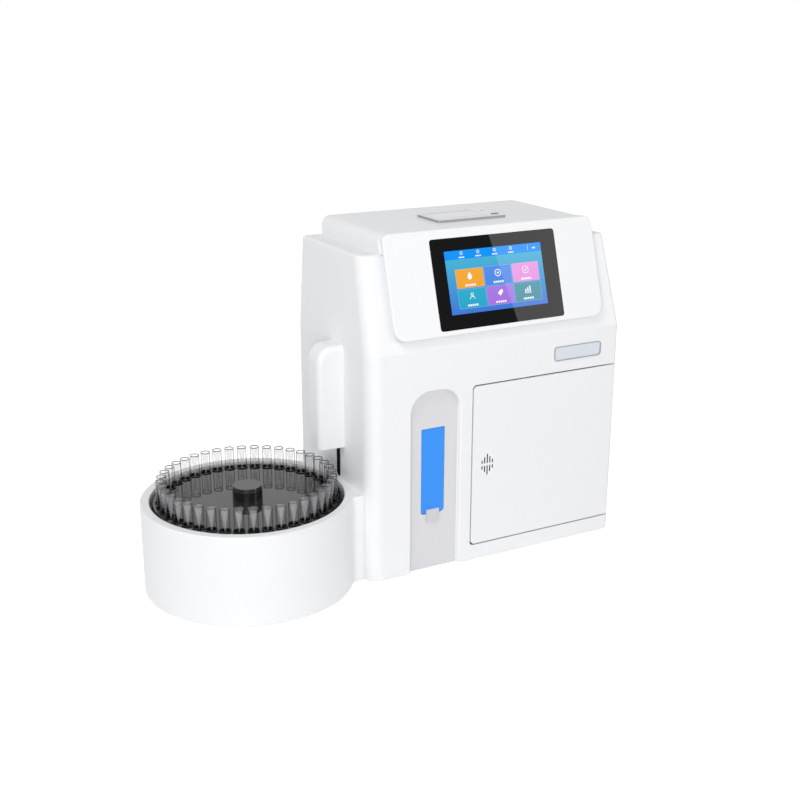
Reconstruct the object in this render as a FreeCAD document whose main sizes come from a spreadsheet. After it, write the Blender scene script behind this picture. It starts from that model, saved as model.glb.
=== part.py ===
import FreeCAD, Part

import math
import os
import re

import Sketcher

# A bench-top electrolyte analyzer with a sample tray at its left side.
# Lengths are in millimetres and angles in degrees.
# X runs from the left side of the main body to its right, Y from its front to its back, Z up.
# The helpers below take positions in the main body's own frame: X = 0 is the left wall,
# Y = 0 is the front wall and Z = 0 is the lower edge of the shells, just above the feet.
# Placements then shift everything, so that the origin lies on the table, under the middle of the part.

os.makedirs("parts", exist_ok=True)
doc = FreeCAD.newDocument("ElectrolyteAnalyzer")
sheet = doc.addObject("Spreadsheet::Sheet", "sizes")
vector = FreeCAD.Vector
subparts = []

# The driving sizes, each written once.
SIZES = {
    # Main body
    "body_width": 400,
    "body_depth": 220,
    "shell_height": 440,
    "crease_height": 315,
    "screen_tilt": 17.2,
    "side_taper": 7,
    "wall": 3,
    "foot_height": 3,
    "front_left_radius": 20,
    "front_right_radius": 6,
    "rear_radius": 7,
    "shoulder_radius": 5,
    "seat_gap": 0.3,
    "running_gap": 0.05,
    "cover_gap": 0.5,

    # Feet and base plate
    "plate_thickness": 2,
    "body_foot_radius": 11,
    "body_foot_inset": 32,

    # Hood on top of the main body
    "hood_left": 36,
    "hood_right_inset": 35,
    "hood_height": 26,
    "hood_radius": 13,
    "hood_rear_radius": 8,

    # Screen surround, in the tilted plane of the front
    "fascia_left": 37.5,
    "fascia_right_inset": 32,
    "fascia_bottom": 15,
    "fascia_proud": 9.8,
    "fascia_low_radius": 17,
    "fascia_top_radius": 10,
    "fascia_edge_radius": 1.8,
    "fascia_lip": 4.5,
    "fascia_inset": 5,
    "glass_left": 104.6,
    "glass_width": 197.1,
    "glass_bottom": 21.7,
    "glass_top_inset": 15.4691,
    "glass_thickness": 2,
    "glass_radius": 4,
    "glass_gap": 0.15,
    "module_left_inset": 11.4,
    "module_right_inset": 15.7,
    "module_bottom_inset": 12.3,
    "module_top_inset": 9.6,
    "module_thickness": 7.5,

    # Bare badge above the door
    "badge_width": 80,
    "badge_right_inset": 31,
    "badge_height": 21,
    "badge_drop": 21,
    "badge_thickness": 1.2,
    "badge_radius": 5,

    # Sampling recess in the front, with its flap
    "recess_left": 62.6,
    "recess_width": 76,
    "recess_drop": 56.7,
    "recess_depth": 7,
    "recess_radius": 30,
    "recess_edge_radius": 2.5,
    "recess_wall": 6,
    "flap_side_inset": 19.4,
    "flap_width": 35.7,
    "flap_bottom": 81,
    "flap_drop": 54.5,
    "flap_inset": 1,
    "flap_thickness": 3,
    "flap_radius": 5,
    "flap_pin_radius": 0.8,
    "tab_side_inset": 8,
    "tab_width": 19,
    "tab_reach": 13.5,
    "tab_overlap": 6,
    "tab_thickness": 2,
    "tab_radius": 4,
    "port_depth": 34,
    "port_wall": 2,
    "needle_radius": 1,
    "port_needle_clearance": 10.8,
    "port_block_width": 12,
    "port_block_height": 16,

    # Door over the electrode bay
    "door_side_gap": 20.3,
    "door_bottom": 23.5,
    "door_drop": 17.8,
    "door_gap": 2,
    "door_thickness": 3,
    "door_corner_radius": 6,
    "door_rim_depth": 7,
    "door_rim_wall": 2,
    "door_rim_inset": 3,
    "door_rim_right_inset": 21,
    "hinge_pin_radius": 2,
    "hinge_pin_seat": 6,
    "hinge_pin_reach": 8,
    "grille_side_inset": 24.1,
    "grille_z": 139.6,
    "grille_pitch": 4.2,
    "grille_slot_width": 1.8,
    "grille_long_slot": 13.5,
    "grille_slot_step": 4.3,
    "grille_middle": 3.6,

    # Bay behind the door
    "bay_right_inset": 18,
    "bay_depth": 112,
    "liner_wall": 2,
    "liner_flange": 8,
    "catch_width": 9,
    "catch_depth": 12,
    "catch_height": 18,
    "catch_z": 132,

    # Electrodes in the bay
    "rack_left_inset": 17.1,
    "rack_right_inset": 16,
    "rack_front": 66,
    "rack_height": 76,
    "rack_drop": 19.2,
    "rack_wall": 4,
    "rack_floor": 6,
    "electrode_count": 5,
    "electrode_gap": 2,
    "rack_play": 2,
    "electrode_length": 34,
    "electrode_height": 44,
    "electrode_cap_radius": 8,
    "electrode_cap_height": 14,
    "reference_height": 56,
    "clamp_knob_radius": 9,
    "clamp_knob_length": 10,
    "clamp_stem_radius": 3,

    # Peristaltic pump in the bay
    "pump_side_inset": 49.1,
    "pump_z": 88,
    "pump_radius": 25,
    "pump_front": 84,
    "pump_wall": 3,
    "tube_radius": 2,
    "tube_end_gap": 28,
    "roller_count": 3,
    "roller_radius": 4.2,
    "roller_circle": 13.1,
    "roller_length": 8.5,
    "rotor_radius": 14,
    "rotor_cheek": 2.5,
    "rotor_shaft_radius": 3,
    "pump_motor_radius": 17,
    "pump_motor_length": 38,

    # Reagent pack in the bay
    "pack_pump_gap": 25,
    "pack_right_inset": 8,
    "pack_front": 34,
    "pack_rear": 106,
    "pack_head_room": 11.5,
    "pack_radius": 6,
    "pack_cap_radius": 12,
    "pack_cap_height": 9,

    # Rear panel and what it carries
    "panel_side_inset": 60,
    "panel_bottom": 34,
    "panel_drop": 42,
    "panel_lap": 7,
    "panel_thickness": 1.5,
    "panel_radius": 6,
    "vent_left_inset": 30,
    "vent_right_inset": 44,
    "vent_drop": 98,
    "vent_count": 9,
    "vent_pitch": 8,
    "vent_slot": 3,
    "screw_radius": 3,
    "screw_height": 1.8,
    "socket_side_inset": 40,
    "inlet_z": 66,
    "inlet_width": 50,
    "inlet_height": 28,
    "inlet_body_width": 28,
    "inlet_body_height": 21,
    "inlet_depth": 24,
    "inlet_flange": 2.5,
    "inlet_wall": 2,
    "inlet_pin_spacing": 7,
    "switch_rise": 38,
    "switch_width": 20,
    "switch_height": 30,
    "rocker_width": 11,
    "rocker_reach": 9.5,
    "rocker_proud": 4,
    "rocker_pivot_depth": 4,
    "rocker_pin_radius": 1.2,
    "rocker_pin_reach": 1,
    "rocker_swing": 14,
    "serial_side_inset": 60,
    "serial_width": 31,
    "serial_height": 12.5,
    "serial_shell_width": 17,
    "serial_shell_height": 8.5,
    "serial_reach": 5,

    # Boards in the base
    "board_left": 36,
    "board_right": 146,
    "board_front": 124,
    "board_rear_inset": 16,
    "board_lift": 8,
    "board_thickness": 1.6,
    "post_radius": 3,
    "supply_left": 242,
    "supply_side_inset": 24,
    "supply_bay_gap": 16,
    "supply_rear_inset": 16,
    "supply_height": 46,

    # Sampling arm on the left wall
    "arm_reach": 36.3,
    "arm_half_width": 19,
    "arm_side_taper": 3,
    "arm_lift": 50.1,
    "arm_top_radius": 23,
    "arm_edge_radius": 8,
    "arm_back_radius": 3,
    "arm_wall": 2.5,
    "arm_side_wall": 7,
    "slot_width": 11.5,
    "slot_end_flat": 0.15,
    "slot_rim": 1,
    "slot_lift": 2.1,
    "slot_drop": 17,
    "channel_half_width": 9,
    "channel_depth": 26,
    "channel_wall": 1.5,
    "rail_radius": 3,
    "rail_x": 15,
    "carriage_lift": 56,
    "carriage_height": 32,
    "carriage_side_gap": 3,
    "neck_play": 1.75,
    "carriage_boss": 6,
    "probe_radius": 0.9,
    "probe_lift": 25.1,
    "probe_head": 3.2,

    # Sample tray beside the main body
    "tray_cut": 6.5,
    "tray_center_y": 94.4,
    "tray_radius": 141.8,
    "tray_height": 121.9,
    "tray_rim_width": 12.3,
    "tray_wall": 3,
    "bowl_depth": 21.9,
    "tray_edge_radius": 2,
    "neck_width": 157,
    "neck_reach": 26,
    "neck_radius": 10,
    "tray_lip_radius": 1.5,
    "tray_foot_radius": 8,
    "tray_foot_inset": 26.8,
    "spindle_radius": 5,
    "bearing_flange": 9,
    "bearing_height": 6,
    "motor_radius": 21,
    "motor_height": 42,

    # Carousel with its sample cups
    "disc_gap": 4.9,
    "disc_drop": 3.5,
    "disc_thickness": 3,
    "cup_count": 40,
    "cup_inset": 11.1,
    "cup_radius": 6.6,
    "cup_height": 36.9,
    "cup_sink": 6.4,
    "cup_wall": 0.9,
    "cup_base": 2,
    "cup_hole_gap": 0.3,
    "knob_radius": 20,
    "knob_height": 12.1,
    "knob_cap_step": 0.8,
    "knob_cap_height": 5.6,

    # Printer in the hood
    "printer_left": 147,
    "printer_side": 10,
    "printer_front": 79,
    "printer_rear_edge": 4.5,
    "printer_plate_height": 3.5,
    "printer_radius": 4,
    "lid_side": 7,
    "lid_width": 75,
    "lid_front_edge": 5,
    "lid_depth": 52.5,
    "lid_gap": 0.5,
    "lid_thickness": 3,
    "lid_pin_radius": 0.7,
    "lid_pin_reach": 4,
    "case_depth": 60,
    "case_wall": 2,
    "case_margin": 2.5,
    "roll_radius": 22,
    "roll_side_room": 18,
    "roll_core_radius": 6,
    "platen_radius": 4,
    "platen_drop": 6.5,
    "platen_inset": 8,
    "feed_button_side": 16,
    "feed_button_setback": 14,
    "feed_button_width": 10,
    "feed_button_depth": 5,
    "feed_button_proud": 1.2,
    "led_setback": 15,
    "led_radius": 1.5,
}

# Sizes that follow from the driving ones, each with its formula.
FOLLOWING = {
    # Hood, screen surround and badge
    "hood_right": "body_width - hood_right_inset",
    "fascia_right": "body_width - fascia_right_inset",
    "slope_length": "(shell_height + hood_height - crease_height) / cos(screen_tilt)",
    "glass_right": "glass_left + glass_width",
    "glass_top": "slope_length - glass_top_inset",
    "module_left": "glass_left + module_left_inset",
    "module_right": "glass_right - module_right_inset",
    "module_bottom": "glass_bottom + module_bottom_inset",
    "module_top": "glass_top - module_top_inset",
    "badge_right": "body_width - badge_right_inset",
    "badge_left": "badge_right - badge_width",
    "badge_top": "crease_height - badge_drop",
    "badge_bottom": "badge_top - badge_height",

    # Recess, flap and the chamber behind it
    "recess_right": "recess_left + recess_width",
    "recess_top": "crease_height - recess_drop",
    "flap_left": "recess_left + flap_side_inset",
    "flap_right": "flap_left + flap_width",
    "flap_top": "recess_top - flap_drop",
    "tab_left": "flap_left + tab_side_inset",
    "tab_right": "tab_left + tab_width",
    "tab_bottom": "flap_bottom - tab_reach",
    "port_needle_length": "flap_top - flap_bottom - port_block_height - port_needle_clearance",

    # Door and what stands in the bay
    "door_left": "recess_right + door_side_gap",
    "door_top": "badge_bottom - door_drop",
    "door_rim_right": "body_width - door_rim_right_inset",
    "grille_x": "door_left + grille_side_inset",
    "bay_right": "body_width - bay_right_inset",
    "rack_left": "door_left + rack_left_inset",
    "rack_right": "bay_right - rack_right_inset",
    "rack_top": "door_top - rack_drop",
    "rack_bottom": "rack_top - rack_height",
    "electrode_pitch": "(rack_right - rack_left - 2 * rack_wall - rack_play) / (electrode_count + 1)",
    "electrode_width": "electrode_pitch - electrode_gap",
    "pump_x": "door_left + pump_side_inset",
    "tube_tail": "rack_bottom - pump_z - tube_end_gap",
    "pack_left": "pump_x + pump_radius + pack_pump_gap",
    "pack_right": "bay_right - pack_right_inset",
    "pack_height": "rack_bottom - door_bottom + door_gap - pack_cap_height - pack_head_room",

    # Rear panel, board and power supply
    "panel_left": "panel_side_inset",
    "panel_right": "body_width - panel_side_inset",
    "panel_top": "shell_height - panel_drop",
    "vent_left": "panel_left + vent_left_inset",
    "vent_width": "(panel_right - vent_right_inset - vent_left - 2 * panel_lap) / 2",
    "vent_bottom": "panel_top - vent_drop",
    "socket_x": "panel_right - socket_side_inset",
    "switch_z": "inlet_z + switch_rise",
    "serial_x": "panel_left + serial_side_inset",
    "board_rear": "body_depth - board_rear_inset",
    "supply_right": "body_width - supply_side_inset",
    "supply_front": "bay_depth + supply_bay_gap",
    "supply_rear": "body_depth - supply_rear_inset",

    # Sample tray and carousel
    "tray_offset": "tray_radius - tray_cut",
    "tray_rim_radius": "tray_radius - tray_rim_width",
    "tray_floor": "tray_height - bowl_depth",
    "tray_foot_circle": "tray_radius - tray_foot_inset",
    "bearing_radius": "spindle_radius + bearing_flange",
    "disc_radius": "tray_rim_radius - disc_gap",
    "disc_top": "tray_height - disc_drop",
    "cup_circle": "disc_radius - cup_inset",
    "cup_bottom": "disc_top - cup_sink",
    "cup_top": "cup_bottom + cup_height",
    "knob_top": "disc_top + knob_height",

    # Sampling arm
    "arm_bottom": "tray_height + arm_lift",
    "arm_top": "crease_height",
    "arm_room_half": "arm_half_width - arm_side_wall",
    "slot_bottom": "tray_height + slot_lift",
    "slot_top": "arm_top - slot_drop",
    "slot_end_radius": "slot_width / 2 - slot_end_flat",
    "carriage_bottom": "arm_bottom + carriage_lift",
    "carriage_width": "2 * (arm_room_half - carriage_side_gap)",
    "carriage_neck": "slot_width - 2 * neck_play",
    "probe_tip": "cup_top + probe_lift",

    # Printer
    "lid_left": "printer_left + lid_side",
    "lid_right": "lid_left + lid_width",
    "lid_front": "printer_front + lid_front_edge",
    "lid_rear": "lid_front + lid_depth",
    "printer_right": "feed_button_x + printer_side",
    "printer_rear": "lid_rear + printer_rear_edge",
    "roll_width": "lid_width - roll_side_room",
    "feed_button_x": "lid_right + feed_button_side",
    "feed_button_y": "printer_front + feed_button_setback",
    "led_y": "printer_rear - led_setback",
}

ORIGIN_X = "(body_width - tray_offset - tray_radius) / 2"
ORIGIN_Y = "tray_center_y"
FRONT_TOP_Y = "((shell_height - crease_height) * tan(screen_tilt))"
HOOD_TOP = "(shell_height + hood_height)"
HINGE_X = "(body_width - front_right_radius)"
HINGE_Y = "front_right_radius"
PAN_BACK = "(recess_depth + recess_wall)"
DOOR_SILL = "(door_bottom - door_gap)"
DOOR_HEAD = "(door_top + door_gap)"
DOOR_JAMB = "(door_left - door_gap)"
FLAP_PIN_Y = "(recess_depth + flap_inset + flap_thickness / 2)"
FLAP_PIN_Z = "(flap_top - flap_thickness / 2)"
LID_BASE = "(shell_height + hood_height + printer_plate_height - lid_thickness)"
LID_PIN_Y = "(lid_rear - lid_thickness / 2)"
LID_PIN_Z = "(shell_height + hood_height + printer_plate_height - lid_thickness / 2)"
NEEDLE_X = "(cup_circle - tray_offset)"
PANEL_FRONT = "(body_depth - wall)"
TUBE_RING = "(pump_radius - pump_wall - seat_gap - tube_radius)"
FUNCTIONS = ("sin", "cos", "tan", "sqrt", "min", "max")

for row, (name, amount) in enumerate(SIZES.items(), 1):
    sheet.set("A%d" % row, name)
    sheet.set("B%d" % row, str(amount))
    sheet.setAlias("B%d" % row, name)
doc.recompute()


def formula(text):
    """Put the sheet's name before each driving size in a formula, and spell out the ones that follow."""

    def spell(found):
        word = found.group(0)
        if word in FOLLOWING:
            return "(%s)" % formula(FOLLOWING[word])
        return word if word in FUNCTIONS else "sizes." + word

    return re.sub(r"[a-z][a-z_]*", spell, str(text))


def number(text):
    """The present value of a formula, for first sketch positions and for finding edges."""
    return float(sheet.evalExpression(formula(text)))


def same(first, second):
    """Whether two lengths are equal, give or take a hundredth of a millimetre."""
    return abs(first - second) < 0.01


def beyond(first, second):
    """Whether the first length is plainly more than the second."""
    return first > second and not same(first, second)


def bind(item, field, text):
    item.setExpression(field, formula(text))


def place(item, x, y, z):
    """Put an object at a point of the main body's frame."""
    bind(item, "Placement.Base.x", "(%s) - (%s)" % (x, ORIGIN_X))
    bind(item, "Placement.Base.y", "(%s) - (%s)" % (y, ORIGIN_Y))
    bind(item, "Placement.Base.z", "(%s) + foot_height" % z)


def new_body(label, x="0", y="0", z="0"):
    """A PartDesign body that is a sub-part, with its own origin at a point of the main body's frame."""
    body = doc.addObject("PartDesign::Body", label)
    body.Label = label
    place(body, x, y, z)
    subparts.append(body)
    return body


def lean(body):
    """Turn a body about X, so that its Z runs up the slope of the front and its Y goes straight in."""
    turn = FreeCAD.Rotation(vector(-1, 0, 0), number("screen_tilt"))
    body.Placement = FreeCAD.Placement(body.Placement.Base, turn)
    bind(body, "Placement.Rotation.Angle", "screen_tilt")


def new_sketch(body, plane, level):
    """An empty sketch parallel to one of the body's origin planes, at a level along its normal."""
    sketch = body.newObject("Sketcher::SketchObject", "Sketch")
    base = [feature for feature in body.Origin.OriginFeatures if feature.Role == plane + "_Plane"]
    sketch.AttachmentSupport = [(base[0], "")]
    sketch.MapMode = "FlatFace"
    side = "-" if plane == "XZ" else ""
    bind(sketch, "AttachmentOffset.Base.z", "%s(%s)" % (side, level))
    return sketch


def corner_arc(before, corner, after, radius):
    """The arc that rounds one corner of an outline, with its first and last point."""
    back = (before - corner).normalize()
    ahead = (after - corner).normalize()
    half = back.getAngle(ahead) / 2
    reach = radius / math.tan(half)
    start = corner + back * reach
    end = corner + ahead * reach
    middle = corner + (back + ahead).normalize() * (radius / math.sin(half) - radius)
    return start, end, Part.Arc(start, middle, end)


def outline(body, plane, corners, level="0"):
    """A closed sketch through corners, each given as (x, y) or as (x, y, radius)."""
    sketch = new_sketch(body, plane, level)
    points = [vector(number(corner[0]), number(corner[1]), 0) for corner in corners]
    count = len(points)
    radii = [corner[2] if len(corner) > 2 else None for corner in corners]
    starts = list(points)
    ends = list(points)
    arcs = {}
    for i, radius in enumerate(radii):
        if radius:
            starts[i], ends[i], arc = corner_arc(points[i - 1], points[i], points[(i + 1) % count],
                                                 number(radius))
            arcs[i] = arc
    geometry = [Part.LineSegment(ends[i], starts[(i + 1) % count]) for i in range(count)]
    arc_index = {}
    for i, arc in arcs.items():
        arc_index[i] = len(geometry)
        geometry.append(arc)
    first_point = len(geometry)
    sketch.addGeometry(geometry, False)
    sketch.addGeometry([Part.Point(point) for point in points], True)
    rules = []
    for i in range(count):
        mark = first_point + i
        line_in = (i - 1) % count
        if radii[i]:
            turn_start = sketch.Geometry[arc_index[i]].StartPoint
            arc_start = 1 if same(turn_start.distanceToPoint(starts[i]), 0) else 2
            rules.append(Sketcher.Constraint("PointOnObject", mark, 1, line_in))
            rules.append(Sketcher.Constraint("PointOnObject", mark, 1, i))
            rules.append(Sketcher.Constraint("Tangent", line_in, 2, arc_index[i], arc_start))
            rules.append(Sketcher.Constraint("Tangent", i, 1, arc_index[i], 3 - arc_start))
        else:
            rules.append(Sketcher.Constraint("Coincident", line_in, 2, mark, 1))
            rules.append(Sketcher.Constraint("Coincident", i, 1, mark, 1))
    sketch.addConstraint(rules)
    for i, corner in enumerate(corners):
        mark = first_point + i
        for kind, text, now in (("DistanceX", corner[0], points[i].x), ("DistanceY", corner[1], points[i].y)):
            rule = sketch.addConstraint(Sketcher.Constraint(kind, -1, 1, mark, 1, now))
            bind(sketch, "Constraints[%d]" % rule, text)
        if radii[i]:
            rule = sketch.addConstraint(Sketcher.Constraint("Radius", arc_index[i], number(radii[i])))
            bind(sketch, "Constraints[%d]" % rule, radii[i])
    return sketch


def rectangle(body, plane, x_low, x_high, y_low, y_high, radius=None, level="0"):
    """A rectangle sketch, with all four corners rounded where a radius is given."""
    corners = [(x_low, y_low), (x_high, y_low), (x_high, y_high), (x_low, y_high)]
    if radius:
        corners = [corner + (radius,) for corner in corners]
    return outline(body, plane, corners, level)


def circles(body, plane, centres, radius, level="0"):
    """A sketch of equal circles."""
    sketch = new_sketch(body, plane, level)
    for x, y in centres:
        centre = vector(number(x), number(y), 0)
        index = sketch.addGeometry(Part.Circle(centre, vector(0, 0, 1), number(radius)), False)
        rules = (("DistanceX", x, centre.x), ("DistanceY", y, centre.y))
        for kind, text, now in rules:
            rule = sketch.addConstraint(Sketcher.Constraint(kind, -1, 1, index, 3, now))
            bind(sketch, "Constraints[%d]" % rule, text)
        rule = sketch.addConstraint(Sketcher.Constraint("Radius", index, number(radius)))
        bind(sketch, "Constraints[%d]" % rule, radius)
    return sketch


def pad(body, sketch, length):
    """Grow a sketch towards +X, +Y or +Z."""
    feature = body.newObject("PartDesign::Pad", "Pad")
    feature.Profile = sketch
    bind(feature, "Length", length)
    feature.Reversed = sketch.AttachmentSupport[0][0].Role == "XZ_Plane"
    doc.recompute()
    return feature


def pocket(body, sketch, length):
    """Cut a sketch away towards +X, +Y or +Z, and make sure that it cut."""
    before = body.Tip.Shape.Volume
    feature = body.newObject("PartDesign::Pocket", "Pocket")
    feature.Profile = sketch
    bind(feature, "Length", length)
    feature.Reversed = sketch.AttachmentSupport[0][0].Role != "XZ_Plane"
    doc.recompute()
    if not beyond(before, feature.Shape.Volume):
        raise RuntimeError("a pocket of %s cuts nothing" % body.Label)
    return feature


def revolve(body, corners):
    """Turn an outline of the XZ plane about the body's Z axis."""
    sketch = outline(body, "XZ", corners)
    feature = body.newObject("PartDesign::Revolution", "Revolution")
    feature.Profile = sketch
    feature.ReferenceAxis = (sketch, ["V_Axis"])
    doc.recompute()
    return feature


def groove(body, corners):
    """Cut an outline of the XZ plane away all round the body's Z axis."""
    before = body.Tip.Shape.Volume
    sketch = outline(body, "XZ", corners)
    feature = body.newObject("PartDesign::Groove", "Groove")
    feature.Profile = sketch
    feature.ReferenceAxis = (sketch, ["V_Axis"])
    doc.recompute()
    if not beyond(before, feature.Shape.Volume):
        raise RuntimeError("a groove of %s cuts nothing" % body.Label)
    return feature


def edges_of(feature, wanted):
    """Names of the feature's edges that a test picks."""
    return ["Edge%d" % (i + 1) for i, edge in enumerate(feature.Shape.Edges) if wanted(edge)]


def middle(edge):
    return edge.valueAt((edge.FirstParameter + edge.LastParameter) / 2)


def runs_along(edge, axis):
    """Whether an edge is straight and parallel to an axis, 0 for X, 1 for Y and 2 for Z."""
    if edge.Curve.TypeId != "Part::GeomLine":
        return False
    way = edge.tangentAt(edge.FirstParameter)
    return all(same(way[other], 0) for other in range(3) if other != axis)


def fillet(body, wanted, radius):
    """Round the edges of the body's last feature that a test picks."""
    base = body.Tip
    names = edges_of(base, wanted)
    if not names:
        raise RuntimeError("a fillet of %s finds no edge" % body.Label)
    feature = body.newObject("PartDesign::Fillet", "Fillet")
    feature.Base = (base, names)
    bind(feature, "Radius", radius)
    doc.recompute()
    return feature


def main_shell():
    """Moulded shell: an upright lower part, and an upper part that leans back and tapers."""
    body = new_body("main_shell")
    low = [("0", "0", "front_left_radius"), ("body_width", "0", "front_right_radius"),
           ("body_width", "body_depth", "rear_radius"), ("0", "body_depth", "rear_radius")]
    high = [("side_taper", FRONT_TOP_Y, "front_left_radius"),
            ("body_width - side_taper", FRONT_TOP_Y, "front_right_radius"),
            ("body_width - side_taper", "body_depth", "rear_radius"),
            ("side_taper", "body_depth", "rear_radius")]
    pad(body, outline(body, "XY", low), "crease_height")
    lower = outline(body, "XY", low, "crease_height")
    upper = outline(body, "XY", high, "shell_height")
    loft = body.newObject("PartDesign::AdditiveLoft", "Loft")
    loft.Profile = lower
    loft.Sections = [upper]
    loft.Ruled = True
    doc.recompute()
    fillet(body, lambda edge: same(middle(edge).z, number("shell_height")), "shoulder_radius")
    hollow_shell(body)
    cut_sampling_recess(body)
    cut_door_opening(body)
    slot = rectangle(body, "YZ", "tray_center_y - slot_width / 2", "tray_center_y + slot_width / 2",
                     "slot_bottom", "slot_top", "slot_end_radius")
    pocket(body, slot, "wall")
    bay = rectangle(body, "XY", *case_hole(), level="shell_height - wall")
    pocket(body, bay, "wall")
    back = rectangle(body, "XZ", "panel_left", "panel_right", "panel_bottom", "panel_top",
                     "panel_radius", PANEL_FRONT)
    pocket(body, back, "wall")
    window = rectangle(body, "XZ", *module_hole())
    slope = FreeCAD.Rotation(vector(-1, 0, 0), number("screen_tilt"))
    window.AttachmentOffset = FreeCAD.Placement(vector(0, number("crease_height"), 0), slope)
    bind(window, "AttachmentOffset.Base.y", "crease_height")
    bind(window, "AttachmentOffset.Rotation.Angle", "screen_tilt")
    pocket(body, window, "wall + cover_gap")
    return body


def case_hole():
    """The opening in the top for the printer's case."""
    return ("lid_left - case_margin - cover_gap", "lid_right + case_margin + cover_gap",
            "lid_front - case_margin - cover_gap", "lid_rear + case_margin + cover_gap")


def module_hole():
    """The opening in the tilted front for the display module, measured up the slope."""
    return ("module_left - cover_gap", "module_right + cover_gap",
            "module_bottom - cover_gap", "module_top + cover_gap")


def hollow_shell(body):
    """Leave one wall thickness all round, with more behind the sampling recess."""
    pan_left = "recess_left - recess_wall"
    pan_right = "recess_right + recess_wall"
    floor = [("wall", "wall", "front_left_radius - wall"), (pan_left, "wall"), (pan_left, PAN_BACK),
             (pan_right, PAN_BACK), (pan_right, "wall"), ("body_width - wall", "wall"),
             ("body_width - wall", "body_depth - wall"), ("wall", "body_depth - wall")]
    pan_top = "(recess_top + recess_wall)"
    pocket(body, outline(body, "XY", floor), pan_top)
    plain = floor[:1] + floor[5:]
    pocket(body, outline(body, "XY", plain, pan_top), "crease_height - " + pan_top)
    corner = "front_left_radius"
    side = "side_taper + wall"
    for left, right, setback in ((corner, "body_width - (%s)" % side, "0"), (side, corner, corner)):
        front = "wall + (%s)" % setback
        top = "shell_height - wall"
        lean_back = "(%s - crease_height) * tan(screen_tilt)" % top
        room = [(front, "crease_height"), ("%s + %s" % (front, lean_back), top),
                ("body_depth - wall", top), ("body_depth - wall", "crease_height")]
        pocket(body, outline(body, "YZ", room, left), "(%s) - (%s)" % (right, left))


def cut_sampling_recess(body):
    """Shallow arched column in the front, open at the bottom, with the flap's opening in its floor."""
    arch = [("recess_left", "-wall"), ("recess_right", "-wall"),
            ("recess_right", "recess_top", "recess_radius"), ("recess_left", "recess_top", "recess_radius")]
    pocket(body, outline(body, "XZ", arch), "recess_depth")

    def on_recess_lip(edge):
        point = middle(edge)
        outside = beyond(number("recess_left"), point.x) or beyond(point.x, number("recess_right"))
        above_edge = beyond(point.z, 0) and not beyond(point.z, number("recess_top"))
        return above_edge and same(point.y, 0) and not outside

    fillet(body, on_recess_lip, "recess_edge_radius")
    hole = [("flap_left - cover_gap", "flap_bottom - cover_gap", "flap_radius"),
            ("flap_right + cover_gap", "flap_bottom - cover_gap", "flap_radius"),
            ("flap_right + cover_gap", "flap_top + cover_gap"),
            ("flap_left - cover_gap", "flap_top + cover_gap")]
    pocket(body, outline(body, "XZ", hole, "recess_depth"), "recess_wall")
    pin_reach = "2 * flap_thickness"
    for start in ("flap_left - cover_gap - %s" % pin_reach, "flap_right + cover_gap"):
        seat = circles(body, "YZ", [(FLAP_PIN_Y, FLAP_PIN_Z)], "flap_pin_radius", start)
        pocket(body, seat, pin_reach)


def cut_door_opening(body):
    """Opening for the door, which wraps round the right front edge, with two lugs for its pins."""
    mouth = [(DOOR_JAMB, DOOR_SILL, "door_corner_radius"), ("body_width + wall", DOOR_SILL),
             ("body_width + wall", DOOR_HEAD), (DOOR_JAMB, DOOR_HEAD, "door_corner_radius")]
    pocket(body, outline(body, "XZ", mouth), "wall")
    side = rectangle(body, "XZ", "body_width - 2 * front_right_radius - wall", "body_width + wall",
                     DOOR_SILL, DOOR_HEAD)
    pocket(body, side, "2 * front_right_radius + seat_gap")
    for level in (DOOR_HEAD, "%s - hinge_pin_seat" % DOOR_SILL):
        lug = rectangle(body, "XY", HINGE_X + " - 3 * hinge_pin_radius", "body_width - wall",
                        "wall", HINGE_Y + " + 3 * hinge_pin_radius", level=level)
        pad(body, lug, "hinge_pin_seat")
        seat = circles(body, "XY", [(HINGE_X, HINGE_Y)], "hinge_pin_radius", level)
        pocket(body, seat, "hinge_pin_seat")


def base_plate():
    """Steel floor of the main body."""
    body = new_body("base_plate")
    edge = "wall + seat_gap"
    pan_edge = PAN_BACK + " + seat_gap"
    pan_left = "recess_left - recess_wall - seat_gap"
    pan_right = "recess_right + recess_wall + seat_gap"
    far = "body_width - wall - seat_gap"
    shape = [(edge, edge, "front_left_radius - wall"), (pan_left, edge), (pan_left, pan_edge),
             (pan_right, pan_edge), (pan_right, edge), (far, edge), (far, "body_depth - wall - seat_gap"),
             (edge, "body_depth - wall - seat_gap")]
    pad(body, outline(body, "XY", shape), "plate_thickness")
    return body


def top_hood():
    """Raised hood on top, with rounded long edges and an opening for the printer's case."""
    body = new_body("top_hood")
    top_y = "((shell_height + hood_height - crease_height) * tan(screen_tilt))"
    side = [(FRONT_TOP_Y, "shell_height"), ("body_depth", "shell_height"), ("body_depth", HOOD_TOP),
            (top_y, HOOD_TOP)]
    pad(body, outline(body, "YZ", side, "hood_left"), "hood_right - hood_left")
    roof = number("shell_height") + number("hood_height")
    fillet(body, lambda edge: runs_along(edge, 1) and same(middle(edge).z, roof), "hood_radius")

    def behind(edge):
        point = middle(edge)
        return same(point.y, number("body_depth")) and beyond(point.z, number("shell_height"))

    fillet(body, behind, "hood_rear_radius")
    room = [("hood_left + wall", "shell_height - wall"), ("hood_right - wall", "shell_height - wall"),
            ("hood_right - wall", HOOD_TOP + " - wall", "hood_radius - wall"),
            ("hood_left + wall", HOOD_TOP + " - wall", "hood_radius - wall")]
    pocket(body, outline(body, "XZ", room, top_y + " + wall"), "body_depth - 3 * wall - " + top_y)
    pocket(body, rectangle(body, "XY", *case_hole(), level=HOOD_TOP + " - wall"), "wall")
    return body


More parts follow.
